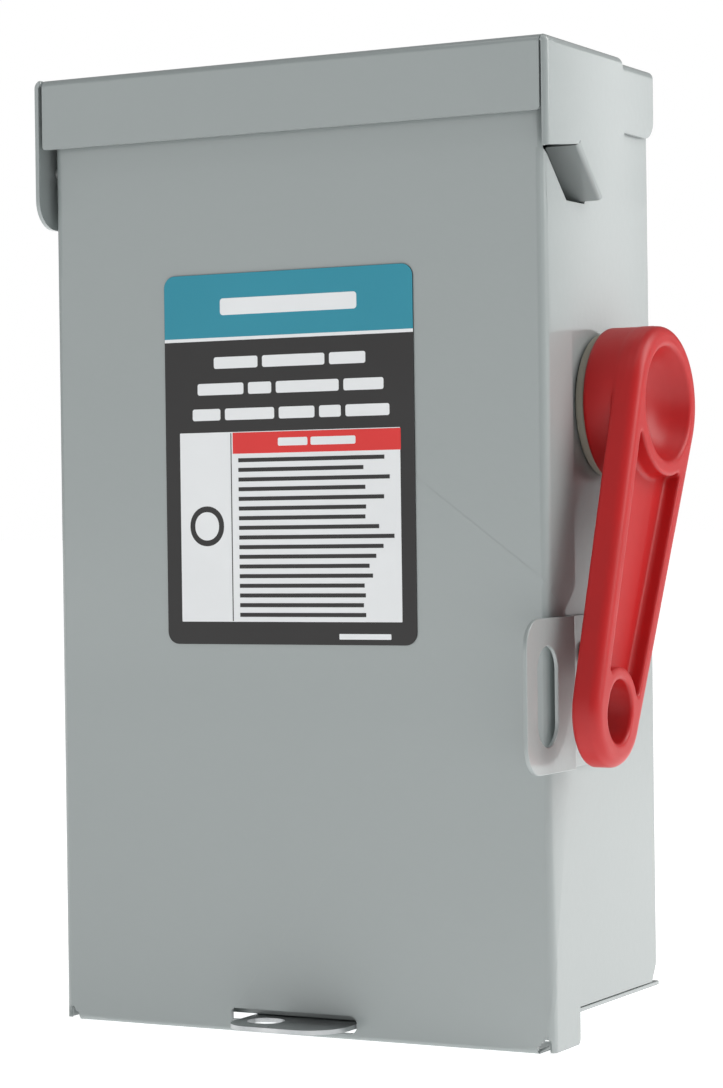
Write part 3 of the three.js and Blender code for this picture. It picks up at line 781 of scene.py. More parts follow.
def rows_tree():
    """Flat bars of random length, one below the other, that stand for lines of print."""
    tree, given, result = open_group(
        "GeometryNodeTree",
        "Print rows",
        [
            ("Geometry", "NodeSocketGeometry", None),
            ("Rows", "NodeSocketInt", 10),
            ("Pitch", "NodeSocketFloat", 0.003),
            ("Height", "NodeSocketFloat", 0.001),
            ("Thickness", "NodeSocketFloat", 0.00004),
            ("Shortest", "NodeSocketFloat", 0.03),
            ("Longest", "NodeSocketFloat", 0.04),
            ("Start", "NodeSocketVector", (0, 0, 0)),
            ("Seed", "NodeSocketInt", 1),
            ("Material", "NodeSocketMaterial", None),
        ],
        [("Geometry", "NodeSocketGeometry")],
    )
    step = add_node(
        tree, "ShaderNodeCombineXYZ", {"Z": math_node(tree, "MULTIPLY", given["Pitch"], -1.0)}
    )
    line = add_node(
        tree,
        "GeometryNodeMeshLine",
        {"Count": given["Rows"], "Start Location": given["Start"], "Offset": step.outputs[0]},
    )
    size = add_node(tree, "ShaderNodeCombineXYZ", {"X": 1.0, "Y": given["Thickness"], "Z": given["Height"]})
    bar = add_node(tree, "GeometryNodeMeshCube", {"Size": size.outputs[0]})
    aligned = add_node(
        tree, "GeometryNodeTransform", {"Geometry": bar.outputs["Mesh"], "Translation": (0.5, 0, 0)}
    )
    length = add_node(tree, "FunctionNodeRandomValue", {"Seed": given["Seed"]}, data_type="FLOAT")
    tree.links.new(given["Shortest"], length.inputs[2])
    tree.links.new(given["Longest"], length.inputs[3])
    stretch = add_node(tree, "ShaderNodeCombineXYZ", {"X": length.outputs[1], "Y": 1.0, "Z": 1.0})
    instances = {"Points": line.outputs[0], "Instance": aligned.outputs[0], "Scale": stretch.outputs[0]}
    return close_tree(tree, given, result, instances)


def grown(name, points, tree, values):
    """An object whose points carry a Geometry Nodes tree, turned into a plain mesh."""
    data = bpy.data.meshes.new(name)
    data.from_pydata([tuple(point) for point in points], [], [])
    piece = bpy.data.objects.new(name, data)
    bpy.context.scene.collection.objects.link(piece)
    modifier = piece.modifiers.new("Shape", "NODES")
    modifier.node_group = tree
    for key, value in values.items():
        set_input(modifier, key, value)
    piece.update_tag()
    return bake_nodes(piece)


def screws(name, nodes, axis, head, height, shank, recess, seed):
    """Screws in place of frame nodes: the head's seat is where the node's head begins."""
    points = []
    aim = Vector(axis)
    for node in nodes:
        low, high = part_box(node)
        centre = (low + high) / 2
        reach = Vector([abs(c) for c in aim]).dot(high - low) / 2
        points.append(centre + aim * (reach - height))
    tree = bpy.data.node_groups.get("Pan head screws") or screw_tree()
    values = {
        "Head Radius": head,
        "Head Height": height,
        "Shank Radius": 0.0019,
        "Shank Length": shank,
        "Recess Width": recess,
        "Axis": axis,
        "Seed": seed,
        "Material": zinc_plate(),
    }
    piece = grown(name, points, tree, values)
    set_smooth(piece.data)
    return soften(piece, 0.00015, limit=38)


# ---------------------------------------------------------------- cover and label


def cover_blank(sheet):
    bend = sheet.cover_bend / MM
    low, high = shop_box("cover")
    half = high.x
    flat = half - bend
    arc = bend * math.pi / 2
    depth = high.y - low.y
    bottom, top = low.z, high.z
    foot_bend, foot_depth = 1.7, 14
    foot_line = bottom + foot_bend
    foot_edge = foot_line - foot_bend * math.pi / 2 - (foot_depth - foot_bend)
    foot_gap = foot_line - foot_bend * math.pi / 2 - 1.9

    def side(y):
        return flat + arc + y - bend

    shoulder, shoulder_top = flat + 2.7, 106.6
    lower = bottom + 0.5
    half_outline = [
        (71.4, foot_edge, 2),
        (71.4, bottom + 2.2, 0.3),
        (72.6, bottom + 2.6, 0.3),
        (72.6, bottom + 4.0, 1.3),
        (75.4, bottom + 4.0, 1.3),
        (75.4, lower, 0.4),
        (side(depth), lower, 1.6),
        (side(depth), 91.6, 1.6),
        (side(depth - 2), 93.6, 1),
        (shoulder, shoulder_top, 0.6),
        (shoulder, top, 1),
    ]
    notch = [(side(depth), -62.5, 2), (side(11.2), -58.5, 2), (side(10.6), -14, 2), (side(depth), -8.2, 2)]
    tab_gap = [(-23.3, foot_edge, 1), (-23.3, foot_gap, 1), (19.9, foot_gap, 1), (19.9, foot_edge, 1)]
    left_half = mirrored(half_outline)
    outline = left_half[-1:] + tab_gap + half_outline[:7] + notch + half_outline[7:] + left_half[:-1]
    slot = rounded([(-21.3, -128.3, 0.8), (17.9, -128.3, 2.3), (17.9, -123.4, 2.3), (-21.3, -123.4, 0.8)])
    folds = [
        fold_line((flat, 0), (1, 0), bend, where=lambda u, v: v > bottom + 0.1),
        fold_line((-flat, 0), (-1, 0), bend, where=lambda u, v: v > bottom + 0.1),
        fold_line((0, foot_line), (0, -1), foot_bend, where=lambda u, v: abs(u) < 72),
    ]
    return outline, [slot], folds


def label_block(name, low, high, front, depth, radius, material):
    """A thin rounded field of the label; front is how far it stands out of the cover's face."""
    mesh = bmesh.new()
    outer = rounded(rectangle(low, high, radius))
    face = mesh.faces.new([mesh.verts.new((x, -front, z)) for x, z in outer])
    grown_part = bmesh.ops.extrude_face_region(mesh, geom=[face])
    back = [item for item in grown_part["geom"] if isinstance(item, bmesh.types.BMVert)]
    bmesh.ops.translate(mesh, verts=back, vec=(0, depth, 0))
    bmesh.ops.recalc_face_normals(mesh, faces=mesh.faces[:])
    return to_object(name, mesh, material)


def word_row(name, span, base, height, front, words, material):
    """A row of plain blocks as long as words; `words` gives their relative lengths."""
    gap = height * 0.45
    unit = (span[1] - span[0] - gap * (len(words) - 1)) / sum(words)
    blocks = []
    left = span[0]
    for i, letters in enumerate(words):
        right = left + letters * unit
        low, high = (left, base), (right, base + height)
        blocks.append(label_block(f"{name}_{i}", low, high, front, 0.1, height * 0.2, material))
        left = right + gap
    return blocks


def join(pieces, name):
    """Joins objects into the first one."""
    with bpy.context.temp_override(active_object=pieces[0], selected_editable_objects=pieces):
        bpy.ops.object.join()
    pieces[0].name = name
    return pieces[0]


def build_cover(context):
    piece = sheet_piece("cover_pan", *cover_blank(context.scene.disconnect_sheet), axes((1, 0, 0), (0, 0, 1)))
    return hand_over(piece, "door", "paint", "cover")


def build_label(context):
    finish = context.scene.disconnect_finish
    layout = context.scene.disconnect_label
    low, high = shop_box("label_plate")
    left, right, bottom, top = low.x, high.x, low.z, high.z
    black = print_finish("print_black", (0.010, 0.009, 0.009))
    white = print_finish("print_white", (0.79, 0.81, 0.82))
    teal = print_finish("print_header", finish.header)
    red = print_finish("print_accent", finish.warning)
    inner_left, inner_right = left + 0.05, right - 0.05
    ground, middle, front = 0.33, 0.35, 0.37
    layers = [
        ("header", (inner_left, top - 17.4), (inner_right, top - 0.05), ground, 3.3, teal),
        ("header_foot", (inner_left, top - 17.5), (inner_right, top - 12), ground + 0.002, 0.02, teal),
        ("rule", (inner_left, top - 18.4), (inner_right, top - 17.5), ground, 0.02, white),
        ("panel", (left + 4.6, bottom + 6.2), (right - 4.3, bottom + 58.3), ground, 0.2, white),
        ("accent", (left + 21.5, bottom + 52.3), (right - 4.1, bottom + 58.1), middle, 0.1, red),
        ("column", (left + 20.8, bottom + 6.4), (left + 21.1, bottom + 58.0), middle, 0.02, black),
        ("symbol", (left + 7.6, bottom + 27), (left + 18.4, bottom + 38), middle, 5.3, black),
        ("symbol_core", (left + 9.2, bottom + 28.6), (left + 16.8, bottom + 36.4), front, 3.7, white),
        ("code", (14.3, bottom + 1.5), (30.1, bottom + 3.0), ground, 0.2, white),
    ]
    fields = [label_block("label_film", (left, bottom), (right, top), 0.3, 0.25, 3.4, black)]
    for name, low_corner, high_corner, lift, radius, ink in layers:
        fields.append(label_block(f"label_{name}", low_corner, high_corner, lift, 0.1, radius, ink))
    fields += word_row("label_title_1", (-24, 23.3), 52.5, 3.2, ground, (5, 7, 4), white)
    fields += word_row("label_title_2", (-29.3, 28.7), 45.3, 3.2, ground, (6, 3, 8, 5), white)
    fields += word_row("label_title_3", (-31, 30.4), 38.3, 3.2, ground, (4, 7, 5, 3, 6), white)
    fields += word_row("label_heading", (left + 18, right - 17), top - 11.4, 4.6, 0.36, (9,), white)
    fields += word_row("label_accent_bar", (-4, 20), bottom + 54.2, 2.2, front, (4, 6), white)
    film = join(fields, "label_film")
    set_smooth(film.data, False)
    tree = bpy.data.node_groups.get("Print rows") or rows_tree()
    values = {
        "Rows": layout.rows,
        "Pitch": layout.pitch,
        "Height": layout.bar,
        "Thickness": 0.00005,
        "Shortest": 0.0375,
        "Longest": 0.0485,
        "Start": shop(-16.6, -0.345, 27.2),
        "Seed": layout.seed,
        "Material": black,
    }
    rows = grown("label_rows", [(0, 0, 0)], tree, values)
    hand_over(rows, "door", "label")
    return hand_over(film, "door", "label", "label_plate")


# ---------------------------------------------------------------- enclosure and hood


def build_enclosure(context):
    sheet = context.scene.disconnect_sheet
    low, high = shop_box("enclosure_body")
    bend = sheet.body_bend / MM
    flat = high.x - bend
    arc = bend * math.pi / 2
    back = high.y

    def wall(y):
        return flat + arc + back - bend - y

    bottom, top = low.z, high.z
    front = low.y
    right = [
        (flat - 2.4, bottom),
        (flat - 0.6, bottom + 5.4, 0.8),
        (flat + 2.6, bottom + 6, 0.8),
        (wall(71), bottom, 0.6),
        (wall(front), bottom, 0.6),
        (wall(front), 86, 1),
        (wall(9), 94.6, 1),
        (wall(31.2), 94.6, 0.6),
        (wall(31.2), top, 1),
    ]
    outline = right + mirrored(right)
    notch = math.asin(2.8 / 5)
    quarter = math.pi / 2
    keyhole = arc_points((0, 103), 5, quarter + notch, quarter - notch + 2 * math.pi, 30)
    keyhole += arc_points((0, 112), 2.8, 0, math.pi, 12)
    holes = [
        keyhole,
        long_hole(-48, -100, -42, -100, 2.8),
        long_hole(42, -100, 48, -100, 2.8),
        circle(-36, -76, 11.3),
        circle(-wall(41.7), 40.7, 6.6),
    ]
    folds = [
        fold_line((flat, 0), (1, 0), bend),
        fold_line((-flat, 0), (-1, 0), bend),
    ]
    piece = sheet_piece("enclosure_wrap", outline, holes, folds, axes((-1, 0, 0), (0, 0, 1), (0, back, 0)))
    hand_over(piece, "enclosure", "paint", "enclosure_body")
    end = refined("bottom_end_wall", enamel(), sheet.edge)
    hand_over(end, "enclosure", "paint", "bottom_end_wall")
    return piece


def knockout(name, node, place, radius, material):
    """A punched disc still held by two nibs."""
    nib = math.radians(5)
    outline = []
    for start in (0, math.pi):
        outline += arc_points((0, 0), radius, start + nib, start + math.pi - nib, 26)
        outline += arc_points((0, 0), radius + 0.34, start + math.pi - nib, start + math.pi + nib, 3)
    mesh = blank_mesh(outline, [], [])
    piece = to_object(name, mesh, material, place)
    thicken(piece, bpy.context.scene.disconnect_sheet.thickness)
    soften(piece, 0.00016)
    return hand_over(piece, "enclosure", "paint", node)


def build_knockouts(context):
    for node in ("knockout_bottom_left", "knockout_bottom_middle", "knockout_bottom_right"):
        low, high = shop_box(node)
        centre = (low + high) / 2
        place = axes((1, 0, 0), (0, -1, 0), (centre.x, centre.y, low.z))
        knockout(f"{node}_disc", node, place, (high.x - low.x) / 2, enamel())
    low, high = shop_box("knockout_rear")
    centre = (low + high) / 2
    place = axes((-1, 0, 0), (0, 0, 1), (centre.x, high.y, centre.z))
    knockout("knockout_rear_disc", "knockout_rear", place, (high.x - low.x) / 2, enamel())


def hub_screw_holes(centre):
    beside, behind, radius = 22, 18, 2.1
    corners = product((-beside, beside), (-behind, behind))
    return [circle(centre.x + dx, centre.y + dy, radius, 20) for dx, dy in corners]


def hood_blank(sheet):
    bend = sheet.hood_bend / MM
    low, high = shop_box("top_hood")
    top, front, back = high.z, low.y, high.y
    flat = high.x - bend
    arc = bend * math.pi / 2
    rear_flat = shop_box("enclosure_body")[1].x + 1.5 - bend
    step = 45.8
    lip_line = front + bend
    lip_edge = lip_line - arc - (top - bend - 116)

    def side(z):
        return flat + arc + top - bend - z

    def rear(z):
        return rear_flat + arc + top - bend - z

    drip_bend, plate_edge = 1.3, 106.6
    start, end = Vector((side(108.6), 15.6)), Vector((side(95.2), 29.8))
    return_bend = 1.6
    return_edge = front + return_bend - return_bend * math.pi / 2 - 0.2
    along = (end - start).normalized()
    across = Vector((along.y, -along.x))
    reach = drip_bend * math.pi / 2 + 9.9 - drip_bend * 2
    slit = [(77.2, lip_edge, 1), (77.2, front + 2.6, 0.2), (77.8, front + 2.6, 0.2)]
    behind = [
        (side(111.6), step, 1.2),
        (side(131.4), step, 3.0),
        (flat + 0.4, step - 1.4, 1),
        (rear_flat - 0.2, step - 0.6, 0.6),
        (rear_flat - 0.2, step + 0.8, 0.5),
        (rear(116.3), step + 0.8, 1.2),
        (rear(116.3), back, 6),
        (rear(132), back, 1),
        (rear_flat, back, 0.5),
    ]
    drip_flange = [
        (77.8, return_edge, 0.2),
        (side(plate_edge), return_edge, 0.3),
        tuple(start - along * 0.3),
        tuple(start - along * 0.3 - across * 1.5),
        tuple(start - across * 1.5),
        tuple(start + across * reach) + (0.8,),
        tuple(end + across * reach) + (0.8,),
        tuple(end) + (0.6,),
    ]
    plain_plate = [(77.8, front, 0.3), (side(94), front, 8), (side(94), 29, 2)]
    outline = slit + drip_flange + behind + mirrored(slit + plain_plate + behind)
    hub = shop_box("hub_plate")
    centre = (hub[0] + hub[1]) / 2
    holes = [circle(centre.x, centre.y, 20, 64), *hub_screw_holes(centre)]

    def beyond_drip(u, v):
        return v < 34 and (Vector((u, v)) - start).dot(along) > -0.1

    drip_start = start - across * drip_bend
    folds = [
        fold_line(tuple(drip_start), tuple(across), drip_bend, where=beyond_drip),
        fold_line((0, front + return_bend), (0, -1), return_bend, where=lambda u, v: u > 77.5),
        fold_line((flat, 0), (1, 0), bend, where=lambda u, v: v < step + 0.4),
        fold_line((-flat, 0), (-1, 0), bend, where=lambda u, v: v < step + 0.4),
        fold_line((rear_flat, 0), (1, 0), bend, where=lambda u, v: v > step + 0.4),
        fold_line((-rear_flat, 0), (-1, 0), bend, where=lambda u, v: v > step + 0.4),
        fold_line((0, lip_line), (0, -1), bend, where=lambda u, v: abs(u) < 77.4),
    ]
    return outline, holes, folds, top


def build_hood(context):
    outline, holes, folds, top = hood_blank(context.scene.disconnect_sheet)
    piece = sheet_piece("hood_cap", outline, holes, folds, axes((1, 0, 0), (0, 1, 0), (0, 0, top)))
    return hand_over(piece, "enclosure", "paint", "top_hood")


def build_hub(context):
    low, high = shop_box("hub_plate")
    outline = rectangle(low, high, 5)
    holes = hub_screw_holes((low + high) / 2)
    piece = sheet_piece("hub_closure", outline, holes, [], axes((1, 0, 0), (0, 1, 0), (0, 0, high.z)))
    hand_over(piece, "enclosure", "paint", "hub_plate")
    nodes = [f"hub_screw_{i}" for i in range(1, 5)]
    up = (0, 0, 1)
    heads = screws("hub_screws", nodes, up, head=0.0036, height=0.0022, shank=0.0062, recess=0.0009, seed=3)
    hand_over(heads, "enclosure", "zinc_steel", *nodes)
    return piece


# ---------------------------------------------------------------- padlock tabs


def build_side_tab(context):
    low, high = shop_box("handle_hasp")
    turn = math.radians(42)
    outer_bend, inner_bend, slope = 2.0, 1.0, 4.23
    line = 9.4
    second = line + outer_bend * turn + slope
    end = second + inner_bend * turn + high.y - 14.55
    outline = [
        (low.y, low.z, 8),
        (end, low.z, 4),
        (end, high.z, 4),
        (low.y, high.z, 8),
    ]
    slot = long_hole(-7.3, -42.7, -7.3, -29.1, 6.3)
    folds = [
        fold_line((second, 0), (1, 0), inner_bend, -turn),
        fold_line((line, 0), (1, 0), outer_bend, turn),
    ]
    place = axes((0, 1, 0), (0, 0, 1), (high.x, 0, 0))
    piece = sheet_piece("padlock_tab_side", outline, [slot], folds, place, edge=0.0003)
    hand_over(piece, "enclosure", "paint", "handle_hasp")
    tree = bpy.data.node_groups.get("Domed rivets") or rivet_tree()
    nodes = ["hasp_rivet_1", "hasp_rivet_2"]
    points = []
    for node in nodes:
        corner_low, corner_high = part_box(node)
        points.append((corner_low.x, (corner_low.y + corner_high.y) / 2, (corner_low.z + corner_high.z) / 2))
    values = {"Radius": 0.0034, "Height": 0.0013, "Axis": (1, 0, 0), "Material": enamel()}
    rivets = grown("tab_rivets", points, tree, values)
    set_smooth(rivets.data)
    hand_over(rivets, "enclosure", "paint", *nodes)
    return piece


def build_bottom_tab(context):
    low, high = shop_box("cover_hasp")
    top = low.z + 1.2
    outline = [
        (low.x, low.y, 8),
        (high.x, low.y, 11),
        (high.x, 9.74, 0.6),
        (low.x, 9.74, 0.6),
    ]
    eye = rounded(rectangle((-13.2, -8.6), (-3, 0.6), 4.2))
    folds = [fold_line((0, 5.4), (0, 1), 0.6, -math.pi / 2)]
    place = axes((1, 0, 0), (0, 1, 0), (0, 0, top))
    piece = sheet_piece("padlock_tab_bottom", outline, [eye], folds, place, zinc_plate(), 0.0003)
    return hand_over(piece, "enclosure", "zinc_steel", "cover_hasp")


# ---------------------------------------------------------------- handle


def outline_distance(a, b, outline):
    """Signed distance from points (a, b) to a closed outline, negative inside."""
    best = np.full(a.shape, 1e9)
    inside = np.zeros(a.shape, bool)
    for (x0, y0), (x1, y1) in zip(outline, outline[1:] + outline[:1]):
        dx, dy = x1 - x0, y1 - y0
        t = np.clip(((a - x0) * dx + (b - y0) * dy) / max(dx * dx + dy * dy, 1e-12), 0, 1)
        best = np.minimum(best, (a - x0 - t * dx) ** 2 + (b - y0 - t * dy) ** 2)
        crossing = (y0 > b) != (y1 > b)
        slope = dx / dy if abs(dy) > 1e-12 else 0.0
        inside ^= crossing & (a < x0 + slope * (b - y0))
    return np.where(inside, -1, 1) * np.sqrt(best)


class Table:
    """A distance sampled on a fine grid of two coordinates, read back by interpolation."""

    def __init__(self, measure, a_range, b_range, step=0.2):
        self.low = np.array([a_range[0], b_range[0]])
        self.step = step
        a = np.arange(a_range[0], a_range[1] + step, step)
        b = np.arange(b_range[0], b_range[1] + step, step)
        self.values = measure(*np.meshgrid(a, b, indexing="ij"))

    def __call__(self, a, b):
        fa = np.clip((a - self.low[0]) / self.step, 0, self.values.shape[0] - 1.001)
        fb = np.clip((b - self.low[1]) / self.step, 0, self.values.shape[1] - 1.001)
        ia, ib = fa.astype(int), fb.astype(int)
        ta, tb = fa - ia, fb - ib
        v = self.values
        low = v[ia, ib] * (1 - ta) + v[ia + 1, ib] * ta
        high = v[ia, ib + 1] * (1 - ta) + v[ia + 1, ib + 1] * ta
        return low * (1 - tb) + high * tb


def round_both(first, second, radius):
    """Where both shapes are, with the edge between them rounded."""
    corner = np.hypot(np.maximum(first + radius, 0), np.maximum(second + radius, 0))
    return np.minimum(np.maximum(first, second), -radius) + corner


def round_either(first, second, radius):
    """Where either shape is, with a fillet between them."""
    return -round_both(-first, -second, radius)


def smooth_profile(points, count=60):
    """A smooth curve through profile points."""
    known = np.array(points, float)
    gaps = np.r_[0, np.cumsum(np.hypot(*np.diff(known, axis=0).T))]
    where = np.linspace(0, gaps[-1], count)
    result = []
    for t in where:
        i = min(max(np.searchsorted(gaps, t) - 1, 0), len(known) - 2)
        u = (t - gaps[i]) / (gaps[i + 1] - gaps[i])
        before, after = known[max(i - 1, 0)], known[min(i + 2, len(known) - 1)]
        m0 = (known[i + 1] - before) / 2
        m1 = (after - known[i]) / 2
        a = 2 * u**3 - 3 * u**2 + 1
        b = u**3 - 2 * u**2 + u
        c = -2 * u**3 + 3 * u**2
        d = u**3 - u**2
        result.append(tuple(a * known[i] + b * m0 + c * known[i + 1] + d * m1))
    return result


def handle_field(handle):
    """The handle's signed distance: x out of the box, s down the arm, t across it."""
    length, head, tip = handle.length / MM, handle.head_radius / MM, handle.tip_radius / MM
    rim = handle.rim / MM
    low, high = shop_box("handle")
    seat, outer = low.x, high.x
    arm_inner = outer - 7.6
    drum_outer = outer - 3.4
    lean = (head - tip) / length
    slope = math.sqrt(1 - lean * lean)

    def flank(s, t):
        across = np.abs(t)
        k = across * -lean + s * slope
        near = np.hypot(across, s) - head
        far = np.hypot(across, s - length) - tip
        side = across * slope + s * lean - head
        return np.where(k < 0, near, np.where(k > slope * length, far, side))

    bowl_points = [(0, 82.8), (5, 83.15), (9.6, 85.0), (12.8, 88.0), (14.9, 91.6), (15.7, outer)]
    bowl = smooth_profile(bowl_points) + [(15.9, outer + 1.2), (16.4, outer + 6), (0, outer + 6)]
    whole_bowl = [(-r, x) for r, x in bowl[::-1]][1:-1] + bowl
    bowl_table = Table(lambda r, x: outline_distance(r, x, whole_bowl), (0, 26), (76, 100))

    def pocket_outline(s, t):
        half = head - 5.3 - (head - tip) * s / length
        sides = np.abs(t) - half
        first = 19.6 - np.hypot(s, t)
        second = 11.6 - np.hypot(s - length, t)
        ends = np.maximum(10 - s, s - 86)
        shape = round_both(sides, np.maximum(first, ends), 2.3)
        return round_both(shape, second, 2.0)

    pocket_table = Table(pocket_outline, (-40, 120), (-30, 30))

    def field(p):
        x, s, t = p[:, 0], p[:, 1], p[:, 2]
        edge = flank(s, t)
        middle = (arm_inner + outer) / 2
        deep = (outer - arm_inner) / 2
        radius = np.where(x > middle, rim, 0.9)
        flat = np.abs(x - middle) - deep
        arm = round_both(edge, flat, radius)
        centre = np.hypot(s, t)
        drum = round_both(centre - head, np.abs(x - (seat + drum_outer) / 2) - (drum_outer - seat) / 2, 0.8)
        body = round_either(arm, drum, 0.35)
        body = round_both(body, -bowl_table(centre, x), 0.75)
        floor = outer - 5.2 + 0.9 * np.clip((t + 8) / 16, 0, 1) ** 2
        pocket = round_both(pocket_table(s, t), floor - x, 1.5)
        body = round_both(body, -pocket, 0.55)
        eye = np.hypot(t, np.maximum(np.abs(s - length) - 0.9, 0)) - 7.5
        body = round_both(body, -eye, 0.8)
        socket = np.maximum(centre - 6.3, x - seat - 3.8)
        return np.maximum(body, -socket)

    return field, (seat, outer)


def surface_net(values, origin, step):
    """Quads round the zero level of a grid of signed distances."""
    counts = np.array(values.shape) - 1
    inside = values < 0
    corners = list(product((0, 1), repeat=3))

    def corner(array, c):
        return array[c[0] : c[0] + counts[0], c[1] : c[1] + counts[1], c[2] : c[2] + counts[2]]

    total = sum(corner(inside, c).astype(np.int8) for c in corners)
    mixed = (total > 0) & (total < 8)
    index = np.full(tuple(counts), -1)
    index[mixed] = np.arange(mixed.sum())
    sums, weights = np.zeros((mixed.sum(), 3)), np.zeros(mixed.sum())
    for a in corners:
        for axis in range(3):
            if a[axis]:
                continue
            b = tuple(c + (i == axis) for i, c in enumerate(a))
            fa, fb = corner(values, a)[mixed], corner(values, b)[mixed]
            crossed = (fa < 0) != (fb < 0)
            t = np.where(crossed, fa / np.where(crossed, fa - fb, 1), 0)
            place = np.array(a, float) + np.eye(3)[axis] * t[:, None]
            sums += place * crossed[:, None]
            weights += crossed
    cells = np.argwhere(mixed)
    verts = origin + (cells + sums / weights[:, None]) * step
    quads = []
    for axis in range(3):
        one, two = (axis + 1) % 3, (axis + 2) % 3
        ahead = np.moveaxis(inside, axis, 0)
        change = ahead[:-1] != ahead[1:]
        starts = np.argwhere(change)
        full = np.zeros_like(starts)
        order = [axis, *[i for i in range(3) if i != axis]]
        for k, i in enumerate(order):
            full[:, i] = starts[:, k]
        good = np.all(full[:, [one, two]] > 0, axis=1) & np.all(full < counts, axis=1)
        full = full[good]
        begins_inside = inside[full[:, 0], full[:, 1], full[:, 2]]
        ring = []
        for da, db in ((0, 0), (1, 0), (1, 1), (0, 1)):
            cell = full.copy()
            cell[:, one] -= da
            cell[:, two] -= db
            ring.append(index[cell[:, 0], cell[:, 1], cell[:, 2]])
        ring = np.stack(ring, 1)
        ring[~begins_inside] = ring[~begins_inside][:, ::-1]
        quads.append(ring)
    return verts, np.concatenate(quads)


def build_handle(context):
    handle = context.scene.disconnect_handle
    field, (seat, outer) = handle_field(handle)
    step = handle.grid / MM * 1
    length, head, tip = handle.length / MM, handle.head_radius / MM, handle.tip_radius / MM
    low = np.array([seat - 1.5, -head - 1.5, -head - 1.5])
    high = np.array([outer + 1.5, length + tip + 1.5, head + 1.5])
    counts = np.ceil((high - low) / step).astype(int) + 1
    grids = np.meshgrid(*[low[i] + step * np.arange(counts[i]) for i in range(3)], indexing="ij")
    points = np.stack([g.ravel() for g in grids], 1)
    verts, quads = surface_net(field(points).reshape(counts), low, step)
    for _ in range(3):
        value = field(verts)
        slope = np.stack(
            [(field(verts + d) - field(verts - d)) / 0.1 for d in np.eye(3) * 0.05], 1
        )
        size = np.maximum((slope**2).sum(1), 0.25)
        verts = verts - np.clip(value / size, -0.3, 0.3)[:, None] * slope
    ring = shop_box("handle_ring")
    pivot_y, pivot_z = (ring[0].y + ring[1].y) / 2, (ring[0].z + ring[1].z) / 2
    down = Vector((0, -math.sin(handle.tilt), -math.cos(handle.tilt)))
    across = Vector((0, math.cos(handle.tilt), -math.sin(handle.tilt)))
    x, s, t = verts[:, 0], verts[:, 1], verts[:, 2]
    placed = np.stack([x, pivot_y + s * down.y + t * across.y, pivot_z + s * down.z + t * across.z], 1)
    data = bpy.data.meshes.new("handle_moulding")
    metres = (placed + np.array([0, FACE, LEVEL])) * MM
    data.from_pydata(metres.tolist(), [], quads.tolist())
    mesh = bmesh.new()
    mesh.from_mesh(data)
    bmesh.ops.recalc_face_normals(mesh, faces=mesh.faces[:])
    mesh.to_mesh(data)
    mesh.free()
    set_smooth(data)
    piece = bpy.data.objects.new("handle_moulding", data)
    context.scene.collection.objects.link(piece)
    data.materials.append(red_moulding())
    return hand_over(piece, "handle_drive", "red_plastic", "handle")


def build_ring(context):
    low, high = shop_box("handle_ring")
    radius = (high.y - low.y) / 2
    centre = (0, (low.y + high.y) / 2, (low.z + high.z) / 2)
    profile = [
        (8, low.x),
        (radius - 0.3, low.x),
        (radius, low.x + 0.3),
        (radius, high.x - 0.9),
        (radius - 0.15, high.x - 0.35),
        (radius - 0.6, high.x),
        (8, high.x),
    ]
    piece = lathe("handle_spacer", profile, centre, beige_moulding(), 120, 0.0002)
    return hand_over(piece, "enclosure", "ring_plastic", "handle_ring")


# ---------------------------------------------------------------- inside


ENDS = list(product(("line", "load"), (1, 2)))
INSIDE = [
    ("door", "paint", enamel, 0.0002, ["cover_hook_left", "cover_hook_right"]),
    ("door", "zinc_steel", zinc_plate, 0.00018, ["cover_catch"]),
    ("door", "card", card_stock, 0.00005, ["wiring_card"]),
    ("enclosure", "zinc_steel", zinc_plate, 0.0003, ["pivot_bracket_left", "pivot_bracket_right"]),
    ("enclosure", "zinc_steel", zinc_plate, 0.0002, [f"{end}_clamp_{pole}" for end, pole in ENDS]),
    ("enclosure", "copper", copper_strip, 0.0002, [f"{end}_contact_{pole}" for end, pole in ENDS]),
    ("enclosure", "black_moulding", black_moulding, 0.0006, ["switch_base"]),
    ("enclosure", "fibre", fibre_sheet, 0.00025, ["line_shield"]),
    ("enclosure", "aluminium", aluminium_bar, 0.0004, ["ground_bar"]),
    ("handle_drive", "zinc_steel", zinc_plate, 0.0003, ["handle_shaft", "drive_crank", "interlock_hook"]),
    ("rotor", "black_moulding", black_moulding, 0.0005, ["crossbar"]),
    ("rotor", "zinc_steel", zinc_plate, 0.0003, ["fork_lever"]),
    ("rotor", "copper", copper_strip, 0.0002, ["blade_1", "blade_2"]),
]


def build_rods(context):
    for node, name in (("hinge_rod", "hinge_pin"), ("pivot_rod", "rotor_pin")):
        low, high = shop_box(node)
        radius = (high.z - low.z) / 2
        centre = (0, (low.y + high.y) / 2, (low.z + high.z) / 2)
        profile = [
            (0, low.x),
            (radius - 0.4, low.x),
            (radius, low.x + 0.4),
            (radius, high.x - 0.4),
            (radius - 0.4, high.x),
            (0, high.x),
        ]
        piece = lathe(name, profile, centre, zinc_plate(), 40, 0.00012)
        hand_over(piece, "enclosure", "zinc_steel", node)


def build_inside(context):
    for body, slot, finish, edge, nodes in INSIDE:
        for node in nodes:
            hand_over(refined(node, finish(), edge), body, slot, node)


def build_screws(context):
    kinds = {
        "terminal_screws": ([f"{end}_screw_{pole}" for end, pole in ENDS], 0.0042, 0.012, 0.0011, 5),
        "base_screws": (["base_screw_1", "base_screw_2"], 0.004, 0.0078, 0.001, 8),
        "ground_screws": ([f"ground_screw_{i}" for i in range(1, 5)], 0.0032, 0.0058, 0.0009, 11),
    }
    head_height = 0.0028
    for name, (nodes, head, shank, recess, seed) in kinds.items():
        piece = screws(name, nodes, (0, -1, 0), head, head_height, shank, recess, seed)
        hand_over(piece, "enclosure", "zinc_steel", *nodes)


